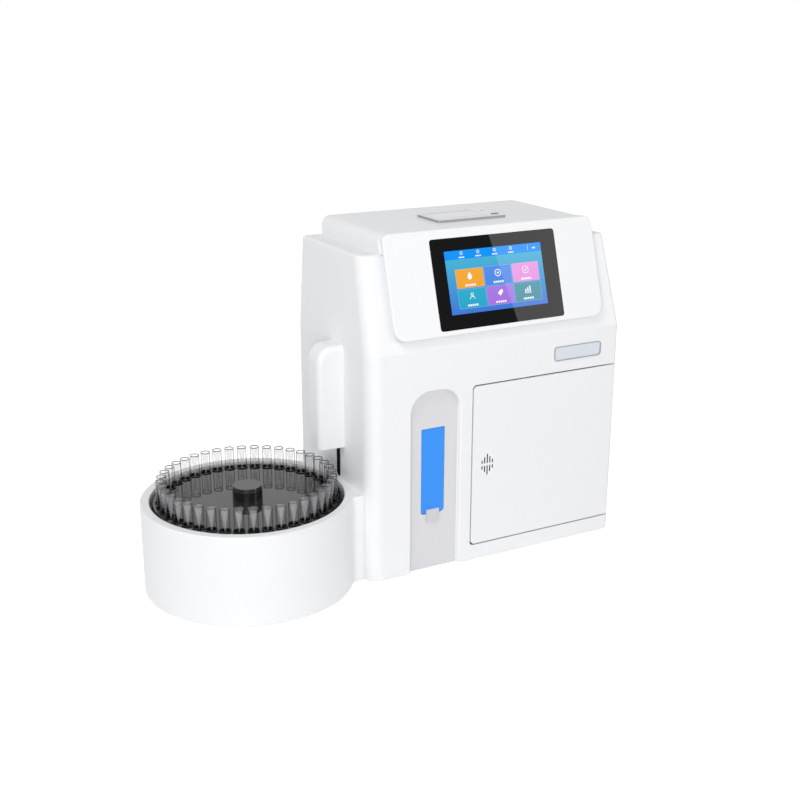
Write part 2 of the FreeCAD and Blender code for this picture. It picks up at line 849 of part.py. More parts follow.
def fascia():
    """Screen surround: a thick white plate on the slope, its top edge level with the hood."""
    body = new_body("fascia", z="crease_height")
    lean(body)
    length = "slope_length"
    plate = rectangle(body, "XZ", "fascia_left", "fascia_right", "fascia_bottom", length,
                      level="-fascia_proud")
    pad(body, plate, "fascia_proud")
    out = "fascia_proud + wall"
    wedge = [("0", length), ("-(%s)" % out, "%s - (%s) * tan(screen_tilt)" % (length, out)),
             ("-(%s)" % out, length + " + wall"), ("0", length + " + wall")]
    pocket(body, outline(body, "YZ", wedge, "fascia_left - wall"), "fascia_right - fascia_left + 2 * wall")
    sides = (number("fascia_left"), number("fascia_right"))

    def on_side(edge):
        point = middle(edge)
        return not runs_along(edge, 2) and any(same(point.x, side) for side in sides)

    low = number("fascia_bottom")
    fillet(body, lambda edge: on_side(edge) and same(middle(edge).z, low), "fascia_low_radius")
    fillet(body, lambda edge: on_side(edge) and beyond(middle(edge).z, low), "fascia_top_radius")
    face = -number("fascia_proud")
    fillet(body, lambda edge: same(middle(edge).y, face), "fascia_edge_radius")
    set_back(body)
    seat = rectangle(body, "XZ", "glass_left - glass_gap", "glass_right + glass_gap",
                     "glass_bottom - glass_gap", "glass_top + glass_gap", "glass_radius + glass_gap",
                     "-fascia_proud")
    pocket(body, seat, "glass_thickness")
    pocket(body, rectangle(body, "XZ", *module_hole(), level="-fascia_proud"), "fascia_proud")
    return body


def set_back(body):
    """Make the surround narrower behind its lip, so that a dark gap runs round it below the hood."""
    reach = "((shell_height - crease_height) / cos(screen_tilt))"
    inner = ("fascia_left + fascia_inset", "fascia_right - fascia_inset", "fascia_bottom + fascia_inset")
    corner = "fascia_low_radius - fascia_inset"
    band = [("fascia_left - wall", "fascia_bottom - wall"), ("fascia_right + wall", "fascia_bottom - wall"),
            ("fascia_right + wall", reach), (inner[1], reach), (inner[1], inner[2], corner),
            (inner[0], inner[2], corner), (inner[0], reach), ("fascia_left - wall", reach)]
    pocket(body, outline(body, "XZ", band, "fascia_lip - fascia_proud"), "fascia_proud - fascia_lip")


def display():
    """Glass that fills the surround's seat, and the display module behind it."""
    glass = new_body("display_glass", z="crease_height")
    lean(glass)
    pane = rectangle(glass, "XZ", "glass_left", "glass_right", "glass_bottom", "glass_top",
                     "glass_radius", "-fascia_proud")
    pad(glass, pane, "glass_thickness")
    module = new_body("display_module", z="crease_height")
    lean(module)
    block = rectangle(module, "XZ", "module_left", "module_right", "module_bottom", "module_top",
                      level="glass_thickness - fascia_proud")
    pad(module, block, "module_thickness")


def name_badge():
    """Bare framed plate above the door: a raised rim round a plain field."""
    body = new_body("name_badge")
    plate = rectangle(body, "XZ", "badge_left", "badge_right", "badge_bottom", "badge_top",
                      "badge_radius", "-badge_thickness")
    pad(body, plate, "badge_thickness")
    field = rectangle(body, "XZ", "badge_left + badge_thickness", "badge_right - badge_thickness",
                      "badge_bottom + badge_thickness", "badge_top - badge_thickness",
                      "badge_radius - badge_thickness", "-badge_thickness")
    pocket(body, field, "badge_thickness / 3")


def door():
    """Flush door: a skin with a rim behind it, and a bead at its right end that holds the hinge."""
    body = new_body("door_panel")
    skin = [("door_left", "door_bottom", "door_corner_radius"), (HINGE_X, "door_bottom"),
            (HINGE_X, "door_top"), ("door_left", "door_top", "door_corner_radius")]
    pad(body, outline(body, "XZ", skin), "door_thickness")
    bead = circles(body, "XY", [(HINGE_X, HINGE_Y)], "front_right_radius", "door_bottom")
    pad(body, bead, "door_top - door_bottom")
    rim = ("door_left + door_rim_inset", "door_rim_right",
           "door_bottom + door_rim_inset", "door_top - door_rim_inset")
    room = (rim[0] + " + door_rim_wall", rim[1] + " - door_rim_wall",
            rim[2] + " + door_rim_wall", rim[3] + " - door_rim_wall")
    pad(body, rectangle(body, "XZ", *rim, level="door_thickness"), "door_rim_depth")
    pocket(body, rectangle(body, "XZ", *room, level="door_thickness"), "door_rim_depth")
    depth = "(hinge_pin_reach + cover_gap)"
    for level in ("door_bottom", "door_top - " + depth):
        bore = circles(body, "XY", [(HINGE_X, HINGE_Y)], "hinge_pin_radius + running_gap", level)
        pocket(body, bore, depth)
    cut_grille(body)
    return body


def cut_grille(body):
    """Ten slots through the door in two mirrored rows, longest in the middle."""
    for column in range(-2, 3):
        x = "grille_x + (%d) * grille_pitch" % column
        length = "(grille_long_slot - %d * grille_slot_step)" % abs(column)
        for low in ("grille_z + grille_middle / 2", "grille_z - grille_middle / 2 - " + length):
            slot = rectangle(body, "XZ", x + " - grille_slot_width / 2", x + " + grille_slot_width / 2",
                             low, low + " + " + length)
            pocket(body, slot, "door_thickness")


def bay_liner():
    """Open box behind the door, hung by its flange on the back of the front wall."""
    body = new_body("bay_liner")
    outer = rectangle(body, "XZ", DOOR_JAMB + " - liner_wall", "bay_right + liner_wall",
                      DOOR_SILL + " - liner_wall", DOOR_HEAD + " + liner_wall", level="wall")
    pad(body, outer, "bay_depth - wall + liner_wall")
    flange = rectangle(body, "XZ", DOOR_JAMB + " - liner_flange", "bay_right + liner_wall",
                       DOOR_SILL + " - liner_flange", DOOR_HEAD + " + liner_flange", level="wall")
    pad(body, flange, "liner_wall")
    right = rectangle(body, "XZ", "bay_right", "body_width - wall", DOOR_SILL, DOOR_HEAD,
                      level="2 * front_right_radius + 2 * cover_gap")
    pad(body, right, "liner_wall")
    room = rectangle(body, "XZ", DOOR_JAMB, "bay_right", DOOR_SILL, DOOR_HEAD, level="wall")
    pocket(body, room, "bay_depth - wall")
    shaft = circles(body, "XZ", [("pump_x", "pump_z")], "rotor_shaft_radius + cover_gap", "bay_depth")
    pocket(body, shaft, "liner_wall")
    return body


def door_catch():
    """Magnet on the bay's left wall that the door's rim closes against."""
    body = new_body("door_catch")
    block = rectangle(body, "XY", DOOR_JAMB, DOOR_JAMB + " + catch_width",
                      "door_thickness + door_rim_depth + seat_gap",
                      "door_thickness + door_rim_depth + seat_gap + catch_depth", level="catch_z")
    pad(body, block, "catch_height")


def sampling_flap():
    """Flap in the recess: a plate that hangs from a bead, with a finger tab below it."""
    body = new_body("sampling_flap")
    face = "recess_depth + flap_inset"
    plate = [("flap_left", "flap_bottom", "flap_radius"), ("flap_right", "flap_bottom", "flap_radius"),
             ("flap_right", FLAP_PIN_Z), ("flap_left", FLAP_PIN_Z)]
    pad(body, outline(body, "XZ", plate, face), "flap_thickness")
    bead = circles(body, "YZ", [(FLAP_PIN_Y, FLAP_PIN_Z)], "flap_thickness / 2", "flap_left")
    pad(body, bead, "flap_right - flap_left")
    reach = "(flap_thickness + cover_gap)"
    for start in ("flap_left", "flap_right - " + reach):
        bore = circles(body, "YZ", [(FLAP_PIN_Y, FLAP_PIN_Z)], "flap_pin_radius + running_gap", start)
        pocket(body, bore, reach)
    tab = new_body("flap_tab")
    root = "(flap_bottom + 2 * cover_gap)"
    end = "(flap_bottom + tab_overlap)"
    tongue = [("tab_left", "tab_bottom", "tab_radius"), ("tab_right", "tab_bottom", "tab_radius"),
              ("tab_right", end), ("tab_left", end)]
    pad(tab, outline(tab, "XZ", tongue, "recess_depth - seat_gap - tab_thickness"), "tab_thickness")
    heel = rectangle(tab, "XZ", "tab_left", "tab_right", root, end, level="recess_depth - seat_gap")
    pad(tab, heel, "flap_inset + seat_gap")


def sampling_port():
    """Small chamber behind the flap, with a hanging needle."""
    liner = new_body("port_liner")
    left = "flap_left - cover_gap"
    right = "flap_right + cover_gap"
    low = "flap_bottom - cover_gap"
    high = "flap_top + cover_gap"
    outer = rectangle(liner, "XZ", left + " - port_wall", right + " + port_wall", low + " - port_wall",
                      high + " + port_wall", level=PAN_BACK)
    pad(liner, outer, "port_depth + port_wall")
    pocket(liner, rectangle(liner, "XZ", left, right, low, high, level=PAN_BACK), "port_depth")
    needle = new_body("port_needle", "(flap_left + flap_right) / 2", PAN_BACK + " + port_depth / 2",
                      high + " - port_block_height")
    half = "port_block_width / 2"
    block = rectangle(needle, "XY", "-" + half, half, "-" + half, half)
    pad(needle, block, "port_block_height")
    tube = circles(needle, "XY", [("0", "0")], "needle_radius", "-port_needle_length")
    pad(needle, tube, "port_needle_length")


def arm_housing():
    """Cover of the sampling arm: tapered in plan, round at its outer top corner, open below."""
    body = new_body("arm_housing", y="tray_center_y")
    side = [("-arm_reach", "arm_bottom"), ("0", "arm_bottom"), ("0", "arm_top"),
            ("-arm_reach", "arm_top", "arm_top_radius")]
    pad(body, outline(body, "XZ", side, "-arm_half_width"), "2 * arm_half_width")
    for sign in ("-", ""):
        edge = sign + "arm_half_width"
        inner = "%s(arm_half_width - arm_side_taper)" % sign
        wedge = outline(body, "XY", [("0", edge), ("-arm_reach", inner), ("-arm_reach", edge)],
                        "arm_bottom")
        pocket(body, wedge, "arm_top - arm_bottom")

    for sign, radius in ((-1, "arm_edge_radius"), (1, "arm_back_radius")):

        def on_cheek_edge(edge):
            point = middle(edge)
            half = number("arm_half_width") + number("arm_side_taper") * point.x / number("arm_reach")
            on_side = same(sign * point.y, half) and beyond(0, point.x)
            return on_side and beyond(point.z, number("arm_bottom"))

        fillet(body, on_cheek_edge, radius)
    room = [("arm_wall - arm_reach", "arm_bottom - wall"), ("wall", "arm_bottom - wall"),
            ("wall", "arm_top - arm_wall"),
            ("arm_wall - arm_reach", "arm_top - arm_wall", "arm_top_radius - arm_wall")]
    pocket(body, outline(body, "XZ", room, "-arm_room_half"), "2 * arm_room_half")


def arm_guide():
    """Channel behind the slot in the left wall, and the upright rod that it holds."""
    channel = new_body("slot_liner", y="tray_center_y")
    half = "(channel_half_width + channel_wall)"
    outer = rectangle(channel, "XY", "wall", "wall + channel_depth", "-" + half, half,
                      level="slot_bottom - channel_wall")
    pad(channel, outer, "slot_top - slot_bottom + 2 * channel_wall")
    room = rectangle(channel, "XY", "wall + channel_wall", "wall + channel_depth - channel_wall",
                     "-channel_half_width", "channel_half_width", level="slot_bottom")
    pocket(channel, room, "slot_top - slot_bottom")
    for inset, grow, depth in (("seat_gap / 2", pad, "wall"),
                               ("(seat_gap / 2 + slot_rim)", pocket, "wall + channel_wall")):
        side = "(slot_width / 2 - %s)" % inset
        rim = rectangle(channel, "YZ", "-" + side, side, "slot_bottom + " + inset, "slot_top - " + inset,
                        "slot_end_radius - " + inset)
        grow(channel, rim, depth)
    rod = new_body("arm_rail", "rail_x", "tray_center_y")
    pad(rod, circles(rod, "XY", [("0", "0")], "rail_radius", "slot_bottom"), "slot_top - slot_bottom")


def probe():
    """Carriage that slides on the rod through the slot, and the needle that hangs from it."""
    body = new_body("probe_carriage", y="tray_center_y")
    half = "carriage_width / 2"
    head = rectangle(body, "XY", "arm_wall - arm_reach + wall", "-wall", "-" + half, half,
                     level="carriage_bottom")
    pad(body, head, "carriage_height")
    bar = rectangle(body, "XY", "-wall", "rail_x", "-carriage_neck / 2", "carriage_neck / 2",
                    level="carriage_bottom")
    pad(body, bar, "carriage_height")
    pad(body, circles(body, "XY", [("rail_x", "0")], "carriage_boss", "carriage_bottom"), "carriage_height")
    bore = circles(body, "XY", [("rail_x", "0")], "rail_radius + running_gap", "carriage_bottom")
    pocket(body, bore, "carriage_height")
    needle = new_body("probe_needle", NEEDLE_X, "tray_center_y")
    collar = "(carriage_bottom - 2 * probe_head)"
    revolve(needle, [("0", "probe_tip"), ("probe_radius", "probe_tip + 2 * probe_radius"),
                     ("probe_radius", collar), ("probe_head", collar), ("probe_head", "carriage_bottom"),
                     ("0", "carriage_bottom")])


def tray():
    """Round tray that stands against the left wall: a bowl on top and a hollow underneath."""
    body = new_body("tray_base", "-tray_offset", "tray_center_y")
    pad(body, circles(body, "XY", [("0", "0")], "tray_radius"), "tray_height")
    neck = rectangle(body, "XY", "tray_offset - neck_reach", "tray_offset", "-neck_width / 2",
                     "neck_width / 2")
    pad(body, neck, "tray_height")
    flat = rectangle(body, "XY", "tray_offset", "tray_radius + wall", "-tray_radius", "tray_radius")
    pocket(body, flat, "tray_height")
    half = number("neck_width") / 2

    def inner_corner(edge):
        point = middle(edge)
        on_neck = same(abs(point.y), half) and beyond(number("tray_offset"), point.x)
        return runs_along(edge, 2) and on_neck

    fillet(body, inner_corner, "neck_radius")

    def outer_rim(edge):
        point = middle(edge)
        return same(point.z, number("tray_height")) and beyond(number("tray_offset"), point.x)

    fillet(body, outer_rim, "tray_edge_radius")
    groove(body, [("0", "tray_floor + tray_wall"), ("tray_rim_radius", "tray_floor + tray_wall"),
                  ("tray_rim_radius", "tray_height + wall"), ("0", "tray_height + wall")])

    def inner_rim(edge):
        ring = edge.Curve.TypeId == "Part::GeomCircle" and same(middle(edge).z, number("tray_height"))
        return ring and same(edge.Curve.Radius, number("tray_rim_radius"))

    fillet(body, inner_rim, "tray_lip_radius")
    room = "tray_offset - tray_wall"
    groove(body, [("0", "-wall"), (room, "-wall"), (room, "tray_floor"), ("0", "tray_floor")])
    hole = circles(body, "XY", [("0", "0")], "spindle_radius + tray_wall", "tray_floor")
    pocket(body, hole, "tray_wall")
    bottom = new_body("tray_bottom", "-tray_offset", "tray_center_y")
    pad(bottom, circles(bottom, "XY", [("0", "0")], room + " - seat_gap"), "plate_thickness")


def carousel_drive():
    """Flanged bearing in the bowl's floor, and the motor under it."""
    bearing = new_body("spindle_bearing", "-tray_offset", "tray_center_y")
    bore = "spindle_radius + running_gap"
    body_radius = "spindle_radius + tray_wall"
    seat = "tray_floor + tray_wall"
    revolve(bearing, [(bore, "tray_floor"), (body_radius, "tray_floor"), (body_radius, seat),
                      ("bearing_radius", seat), ("bearing_radius", "tray_floor + bearing_height"),
                      (bore, "tray_floor + bearing_height")])
    motor = new_body("tray_motor", "-tray_offset", "tray_center_y")
    pad(motor, circles(motor, "XY", [("0", "0")], "motor_radius", "tray_floor - motor_height"),
        "motor_height")
    hole = circles(motor, "XY", [("0", "0")], "spindle_radius + seat_gap", "tray_floor - bearing_radius")
    pocket(motor, hole, "bearing_radius")


def carousel():
    """Disc with a ring of cup holes and a shelf under them, its spindle, and the knob on top."""
    disc = new_body("carousel_disc", "-tray_offset", "tray_center_y")
    under = "disc_top - disc_thickness"
    inner = "cup_circle - cup_radius - disc_thickness"
    outer = "cup_circle + cup_radius"
    shelf = "cup_bottom - disc_thickness"
    revolve(disc, [("0", under), (inner + " - disc_thickness", under), (inner + " - disc_thickness", shelf),
                   (outer, shelf), (outer, "cup_bottom"), (inner, "cup_bottom"), (inner, under),
                   ("disc_radius", under), ("disc_radius", "disc_top"), ("0", "disc_top")])
    hole = pocket(disc, circles(disc, "XY", [("cup_circle", "0")], "cup_radius + cup_hole_gap", under),
                  "disc_thickness")
    ring = disc.newObject("PartDesign::PolarPattern", "CupHoles")
    ring.Originals = [hole]
    upright = [feature for feature in disc.Origin.OriginFeatures if feature.Role == "Z_Axis"]
    ring.Axis = (upright[0], [""])
    ring.Angle = 360
    bind(ring, "Occurrences", "cup_count")
    disc.Tip = ring
    doc.recompute()
    spindle = new_body("carousel_spindle", "-tray_offset", "tray_center_y")
    collar = "tray_floor + bearing_height + tray_wall"
    tip = "tray_floor - bearing_radius + wall"
    revolve(spindle, [("0", tip), ("spindle_radius", tip), ("spindle_radius", collar),
                      ("bearing_radius", collar), ("bearing_radius", under), ("0", under)])
    knob = new_body("knob", "-tray_offset", "tray_center_y")
    revolve(knob, [("0", "disc_top"), ("knob_radius", "disc_top"), ("knob_radius", "knob_top"),
                   ("0", "knob_top")])
    cap = new_body("knob_cap", "-tray_offset", "tray_center_y")
    step = "knob_radius - knob_cap_step"
    half = "knob_top + knob_cap_height / 2"
    top = "knob_top + knob_cap_height"
    revolve(cap, [("0", "knob_top"), ("knob_radius", "knob_top"), ("knob_radius", half), (step, half),
                  (step, top), ("0", top)])


def group(label, shape, places, x="0", y="0", z="0"):
    """Several separate copies of one shape, kept as one sub-part."""
    item = doc.addObject("Part::Feature", label)
    item.Label = label
    copies = []
    for spot in places:
        copy = shape.copy()
        copy.Placement = spot.multiply(copy.Placement)
        copies.append(copy)
    item.Shape = Part.Compound(copies)
    place(item, x, y, z)
    subparts.append(item)


def at(x, y, z):
    """A placement at the values of three formulas."""
    return FreeCAD.Placement(vector(number(x), number(y), number(z)), FreeCAD.Rotation())


def sample_cups():
    """Clear cups with a straight outside and a conical inside, one in each hole of the disc."""
    radius = number("cup_radius")
    mouth = radius - number("cup_wall")
    low = number("cup_bottom")
    profile = [vector(0, 0, low), vector(radius, 0, low), vector(radius, 0, number("cup_top")),
               vector(mouth, 0, number("cup_top")), vector(0, 0, low + number("cup_base"))]
    face = Part.Face(Part.makePolygon(profile + profile[:1]))
    cup = face.revolve(vector(0, 0, 0), vector(0, 0, 1), 360)
    step = 360 / number("cup_count")
    places = []
    for i in range(int(number("cup_count"))):
        turn = FreeCAD.Rotation(vector(0, 0, 1), i * step)
        places.append(FreeCAD.Placement(turn.multVec(vector(number("cup_circle"), 0, 0)), turn))
    group("sample_cups", cup, places, "-tray_offset", "tray_center_y")


def feet():
    """Round rubber feet under the main body and under the tray."""
    height = number("foot_height")
    body_foot = Part.makeCylinder(number("body_foot_radius"), height, vector(0, 0, -height))
    columns = ("body_foot_inset", "body_width - body_foot_inset")
    rows = ("body_foot_inset", "body_depth - body_foot_inset")
    group("body_feet", body_foot, [at(x, y, "0") for x in columns for y in rows])
    tray_foot = Part.makeCylinder(number("tray_foot_radius"), height, vector(0, 0, -height))
    places = []
    for angle in (45, 135, 225, 315):
        turn = FreeCAD.Rotation(vector(0, 0, 1), angle)
        places.append(FreeCAD.Placement(turn.multVec(vector(number("tray_foot_circle"), 0, 0)), turn))
    group("tray_feet", tray_foot, places, "-tray_offset", "tray_center_y")


def pins():
    """Steel pins of the door, of the flap and of the printer's lid."""
    reach = number("hinge_pin_reach") + number("door_gap") + number("hinge_pin_seat")
    door_pin = Part.makeCylinder(number("hinge_pin_radius"), reach)
    low = at(HINGE_X, HINGE_Y, "door_bottom - door_gap - hinge_pin_seat")
    group("door_hinge_pins", door_pin, [low, at(HINGE_X, HINGE_Y, "door_top - hinge_pin_reach")])
    along = vector(1, 0, 0)
    reach = 3 * number("flap_thickness") + number("cover_gap")
    flap_pin = Part.makeCylinder(number("flap_pin_radius"), reach, vector(0, 0, 0), along)
    left = at("flap_left - cover_gap - 2 * flap_thickness", FLAP_PIN_Y, FLAP_PIN_Z)
    right = at("flap_right - flap_thickness", FLAP_PIN_Y, FLAP_PIN_Z)
    group("flap_pins", flap_pin, [left, right])
    reach = 2 * number("lid_pin_reach") + number("lid_gap")
    lid_pin = Part.makeCylinder(number("lid_pin_radius"), reach, vector(0, 0, 0), along)
    left = at("lid_left - lid_gap - lid_pin_reach", LID_PIN_Y, LID_PIN_Z)
    right = at("lid_right - lid_pin_reach", LID_PIN_Y, LID_PIN_Z)
    group("lid_pins", lid_pin, [left, right])


def printer():
    """Printer let into the hood: a frame, a case below it, a lid with a platen, and a paper roll."""
    frame = new_body("printer_frame")
    plate = rectangle(frame, "XY", "printer_left", "printer_right", "printer_front", "printer_rear",
                      "printer_radius", HOOD_TOP)
    pad(frame, plate, "printer_plate_height")
    mouth = rectangle(frame, "XY", "lid_left - lid_gap", "lid_right + lid_gap", "lid_front - lid_gap",
                      "lid_rear + lid_gap", level=HOOD_TOP)
    pocket(frame, mouth, "printer_plate_height")
    for start in ("lid_left - lid_gap - lid_pin_reach", "lid_right + lid_gap"):
        seat = circles(frame, "YZ", [(LID_PIN_Y, LID_PIN_Z)], "lid_pin_radius", start)
        pocket(frame, seat, "lid_pin_reach")
    half_width = "(feed_button_width / 2 + seat_gap)"
    half_depth = "(feed_button_depth / 2 + seat_gap)"
    key = rectangle(frame, "XY", "feed_button_x - " + half_width, "feed_button_x + " + half_width,
                    "feed_button_y - " + half_depth, "feed_button_y + " + half_depth, level=HOOD_TOP)
    pocket(frame, key, "printer_plate_height")
    lamp = circles(frame, "XY", [("feed_button_x", "led_y")], "led_radius", HOOD_TOP)
    pocket(frame, lamp, "printer_plate_height")
    case = new_body("printer_case")
    edges = ("lid_left - case_margin", "lid_right + case_margin",
             "lid_front - case_margin", "lid_rear + case_margin")
    pad(case, rectangle(case, "XY", *edges, level=HOOD_TOP + " - case_depth"), "case_depth")
    room = (edges[0] + " + case_wall", edges[1] + " - case_wall",
            edges[2] + " + case_wall", edges[3] + " - case_wall")
    pocket(case, rectangle(case, "XY", *room, level=HOOD_TOP + " - case_depth + case_wall"),
           "case_depth - case_wall")
    button = new_body("feed_button", "feed_button_x", "feed_button_y", HOOD_TOP)
    key = rectangle(button, "XY", "-feed_button_width / 2", "feed_button_width / 2",
                    "-feed_button_depth / 2", "feed_button_depth / 2", level="feed_button_proud")
    pad(button, key, "printer_plate_height")
    led = new_body("status_led", "feed_button_x", "led_y", HOOD_TOP)
    pad(led, circles(led, "XY", [("0", "0")], "led_radius"), "printer_plate_height + seat_gap")
    paper = new_body("paper_roll", "(lid_left + lid_right - roll_width) / 2",
                     "lid_rear + case_margin - case_wall - roll_radius - 2 * seat_gap",
                     HOOD_TOP + " - case_depth + case_wall + roll_radius + seat_gap")
    pad(paper, circles(paper, "YZ", [("0", "0")], "roll_radius"), "roll_width")
    pocket(paper, circles(paper, "YZ", [("0", "0")], "roll_core_radius"), "roll_width")
    printer_lid()


def printer_lid():
    """Lid hinged at its rear edge, with a paper slot and two ears that carry the platen."""
    lid = new_body("printer_lid")
    slab = rectangle(lid, "XY", "lid_left", "lid_right", "lid_front", LID_PIN_Y, level=LID_BASE)
    pad(lid, slab, "lid_thickness")
    bead = circles(lid, "YZ", [(LID_PIN_Y, LID_PIN_Z)], "lid_thickness / 2", "lid_left")
    pad(lid, bead, "lid_right - lid_left")
    platen_y = "(lid_front + platen_inset)"
    platen_z = "(%s - platen_drop)" % HOOD_TOP
    low = platen_z + " - platen_radius"
    inset = "(lid_left + 2 * platen_radius)"
    far = "(lid_right - 2 * platen_radius)"
    for start in (inset, far + " - lid_thickness"):
        ear = rectangle(lid, "YZ", platen_y + " - platen_radius", platen_y + " + platen_radius", low,
                        LID_BASE, level=start)
        pad(lid, ear, "lid_thickness")
        bore = circles(lid, "YZ", [(platen_y, platen_z)], "platen_radius / 2 + running_gap", start)
        pocket(lid, bore, "lid_thickness")
    reach = 2 * number("lid_thickness")
    slot = rectangle(lid, "XY", "%s + %g" % (inset, reach), "%s - %g" % (far, reach),
                     platen_y + " - lid_gap", platen_y + " + lid_gap", level=LID_BASE)
    pocket(lid, slot, "lid_thickness")
    for start in ("lid_left", "lid_right - lid_pin_reach - lid_gap"):
        bore = circles(lid, "YZ", [(LID_PIN_Y, LID_PIN_Z)], "lid_pin_radius + running_gap", start)
        pocket(lid, bore, "lid_pin_reach + lid_gap")
    platen = new_body("platen_roller", y=platen_y, z=platen_z)
    shaft = circles(platen, "YZ", [("0", "0")], "platen_radius / 2", inset)
    pad(platen, shaft, "%s - %s" % (far, inset))
    sleeve_start = inset + " + lid_thickness + seat_gap"
    sleeve = circles(platen, "YZ", [("0", "0")], "platen_radius", sleeve_start)
    pad(platen, sleeve, "%s - %s - 2 * (lid_thickness + seat_gap)" % (far, inset))


def electrodes():
    """Rack on the bay's back wall with a row of electrodes, a taller reference and a clamp screw."""
    rack = new_body("electrode_rack")
    block = rectangle(rack, "XZ", "rack_left", "rack_right", "rack_bottom", "rack_top", level="rack_front")
    pad(rack, block, "bay_depth - rack_front")
    room = rectangle(rack, "XZ", "rack_left + rack_wall", "rack_right - rack_wall",
                     "rack_bottom + rack_floor", "rack_top + rack_wall", level="rack_front")
    pocket(rack, room, "bay_depth - rack_front - rack_wall")
    screw_y = "(rack_front + rack_wall + electrode_length / 2)"
    screw_z = "(rack_bottom + rack_floor + electrode_height / 2)"
    hole = circles(rack, "YZ", [(screw_y, screw_z)], "clamp_stem_radius + running_gap",
                   "rack_right - rack_wall")
    pocket(rack, hole, "rack_wall")
    width = number("electrode_width")
    length = number("electrode_length")
    for label, height, first, last in (
            ("electrodes", number("electrode_height"), 0, int(number("electrode_count"))),
            ("reference_electrode", number("reference_height"), number("electrode_count"),
             int(number("electrode_count")) + 1)):
        block = Part.makeBox(width, length, height)
        cap = Part.makeCylinder(number("electrode_cap_radius"), number("electrode_cap_height"),
                                vector(width / 2, length / 2, height))
        places = [at("rack_left + rack_wall + seat_gap + %d * electrode_pitch" % i,
                     "rack_front + rack_wall", "rack_bottom + rack_floor")
                  for i in range(int(first), last)]
        group(label, block.fuse(cap), places)
    clamp = new_body("electrode_clamp", "rack_right", screw_y, screw_z)
    knob = circles(clamp, "YZ", [("0", "0")], "clamp_knob_radius", "seat_gap")
    pad(clamp, knob, "clamp_knob_length")
    stem = circles(clamp, "YZ", [("0", "0")], "clamp_stem_radius", "-rack_wall")
    pad(clamp, stem, "rack_wall + seat_gap")
    wing = rectangle(clamp, "YZ", "-clamp_knob_radius - wall", "clamp_knob_radius + wall",
                     "-wall / 2", "wall / 2", level="seat_gap")
    pad(clamp, wing, "clamp_knob_length")


def pump():
    """Peristaltic pump: a cup with a tube along its wall, a rotor with rollers, and a motor behind."""
    housing = new_body("pump_housing", "pump_x", "0", "pump_z")
    centre = [("0", "0")]
    pad(housing, circles(housing, "XZ", centre, "pump_radius", "pump_front"), "bay_depth - pump_front")
    pocket(housing, circles(housing, "XZ", centre, "pump_radius - pump_wall", "pump_front"),
           "bay_depth - pump_front - 2 * pump_wall")
    outlet = "(pump_radius - pump_wall)"
    gate = rectangle(housing, "XZ", "-" + outlet, outlet, "0", "pump_radius + wall", level="pump_front")
    pocket(housing, gate, "bay_depth - pump_front - 2 * pump_wall")
    bore = circles(housing, "XZ", centre, "rotor_shaft_radius + running_gap", "bay_depth - 2 * pump_wall")
    pocket(housing, bore, "2 * pump_wall")
    roller_y = "(pump_front + 2 * rotor_cheek + roller_length / 2)"
    tube = new_body("pump_tube", "pump_x", roller_y, "pump_z")
    ends = [("-" + TUBE_RING, "0"), (TUBE_RING, "0")]
    pad(tube, circles(tube, "XY", ends[1:], "tube_radius"), "tube_tail")
    bend = tube.newObject("PartDesign::Revolution", "Bend")
    section = circles(tube, "XY", ends[1:], "tube_radius")
    bend.Profile = section
    bend.ReferenceAxis = (section, ["V_Axis"])
    bend.Angle = 180
    doc.recompute()
    if bend.Shape.BoundBox.ZMin > -number(TUBE_RING):
        bend.Reversed = True
        doc.recompute()
    pad(tube, circles(tube, "XY", ends[:1], "tube_radius"), "tube_tail")
    rotor = new_body("pump_rotor", "pump_x", "0", "pump_z")
    first = "(pump_front + rotor_cheek)"
    pad(rotor, circles(rotor, "XZ", centre, "rotor_radius", first), "rotor_cheek")
    pad(rotor, circles(rotor, "XZ", centre, "rotor_shaft_radius", first),
        "bay_depth - %s + liner_wall + pump_wall" % first)
    pad(rotor, circles(rotor, "XZ", centre, "rotor_radius", first + " + rotor_cheek + roller_length"),
        "rotor_cheek")
    roller = Part.makeCylinder(number("roller_radius"), number("roller_length"), vector(0, 0, 0),
                               vector(0, 1, 0))
    places = []
    for i in range(int(number("roller_count"))):
        turn = FreeCAD.Rotation(vector(0, 1, 0), i * 360 / number("roller_count"))
        places.append(FreeCAD.Placement(turn.multVec(vector(number("roller_circle"), 0, 0)), turn))
    group("pump_rollers", roller, places, "pump_x", first + " + rotor_cheek", "pump_z")
    motor = new_body("pump_motor", "pump_x", "0", "pump_z")
    back = "(bay_depth + liner_wall)"
    pad(motor, circles(motor, "XZ", centre, "pump_motor_radius", back), "pump_motor_length")
    pocket(motor, circles(motor, "XZ", centre, "rotor_shaft_radius + seat_gap", back), "2 * pump_wall")


def reagent_pack():
    """Closed pack that stands on the bay's floor, with a round cap."""
    body = new_body("reagent_pack", z=DOOR_SILL)
    block = rectangle(body, "XY", "pack_left", "pack_right", "pack_front", "pack_rear", "pack_radius")
    pad(body, block, "pack_height")
    cap = circles(body, "XY", [("pack_left + 2 * pack_cap_radius", "(pack_front + pack_rear) / 2")],
                  "pack_cap_radius", "pack_height")
    pad(body, cap, "pack_cap_height")


def base_electronics():
    """Board on four posts, and the closed power supply, both on the base plate."""
    board = new_body("main_board", z="plate_thickness")
    sheet_edges = ("board_left", "board_right", "board_front", "board_rear")
    pad(board, rectangle(board, "XY", *sheet_edges, level="board_lift"), "board_thickness")
    inset = " 2 * post_radius"
    for x in ("board_left +" + inset, "board_right -" + inset):
        for y in ("board_front +" + inset, "board_rear -" + inset):
            pad(board, circles(board, "XY", [(x, y)], "post_radius"), "board_lift")
    supply = new_body("power_supply", z="plate_thickness")
    box = rectangle(supply, "XY", "supply_left", "supply_right", "supply_front", "supply_rear")
    pad(supply, box, "supply_height")


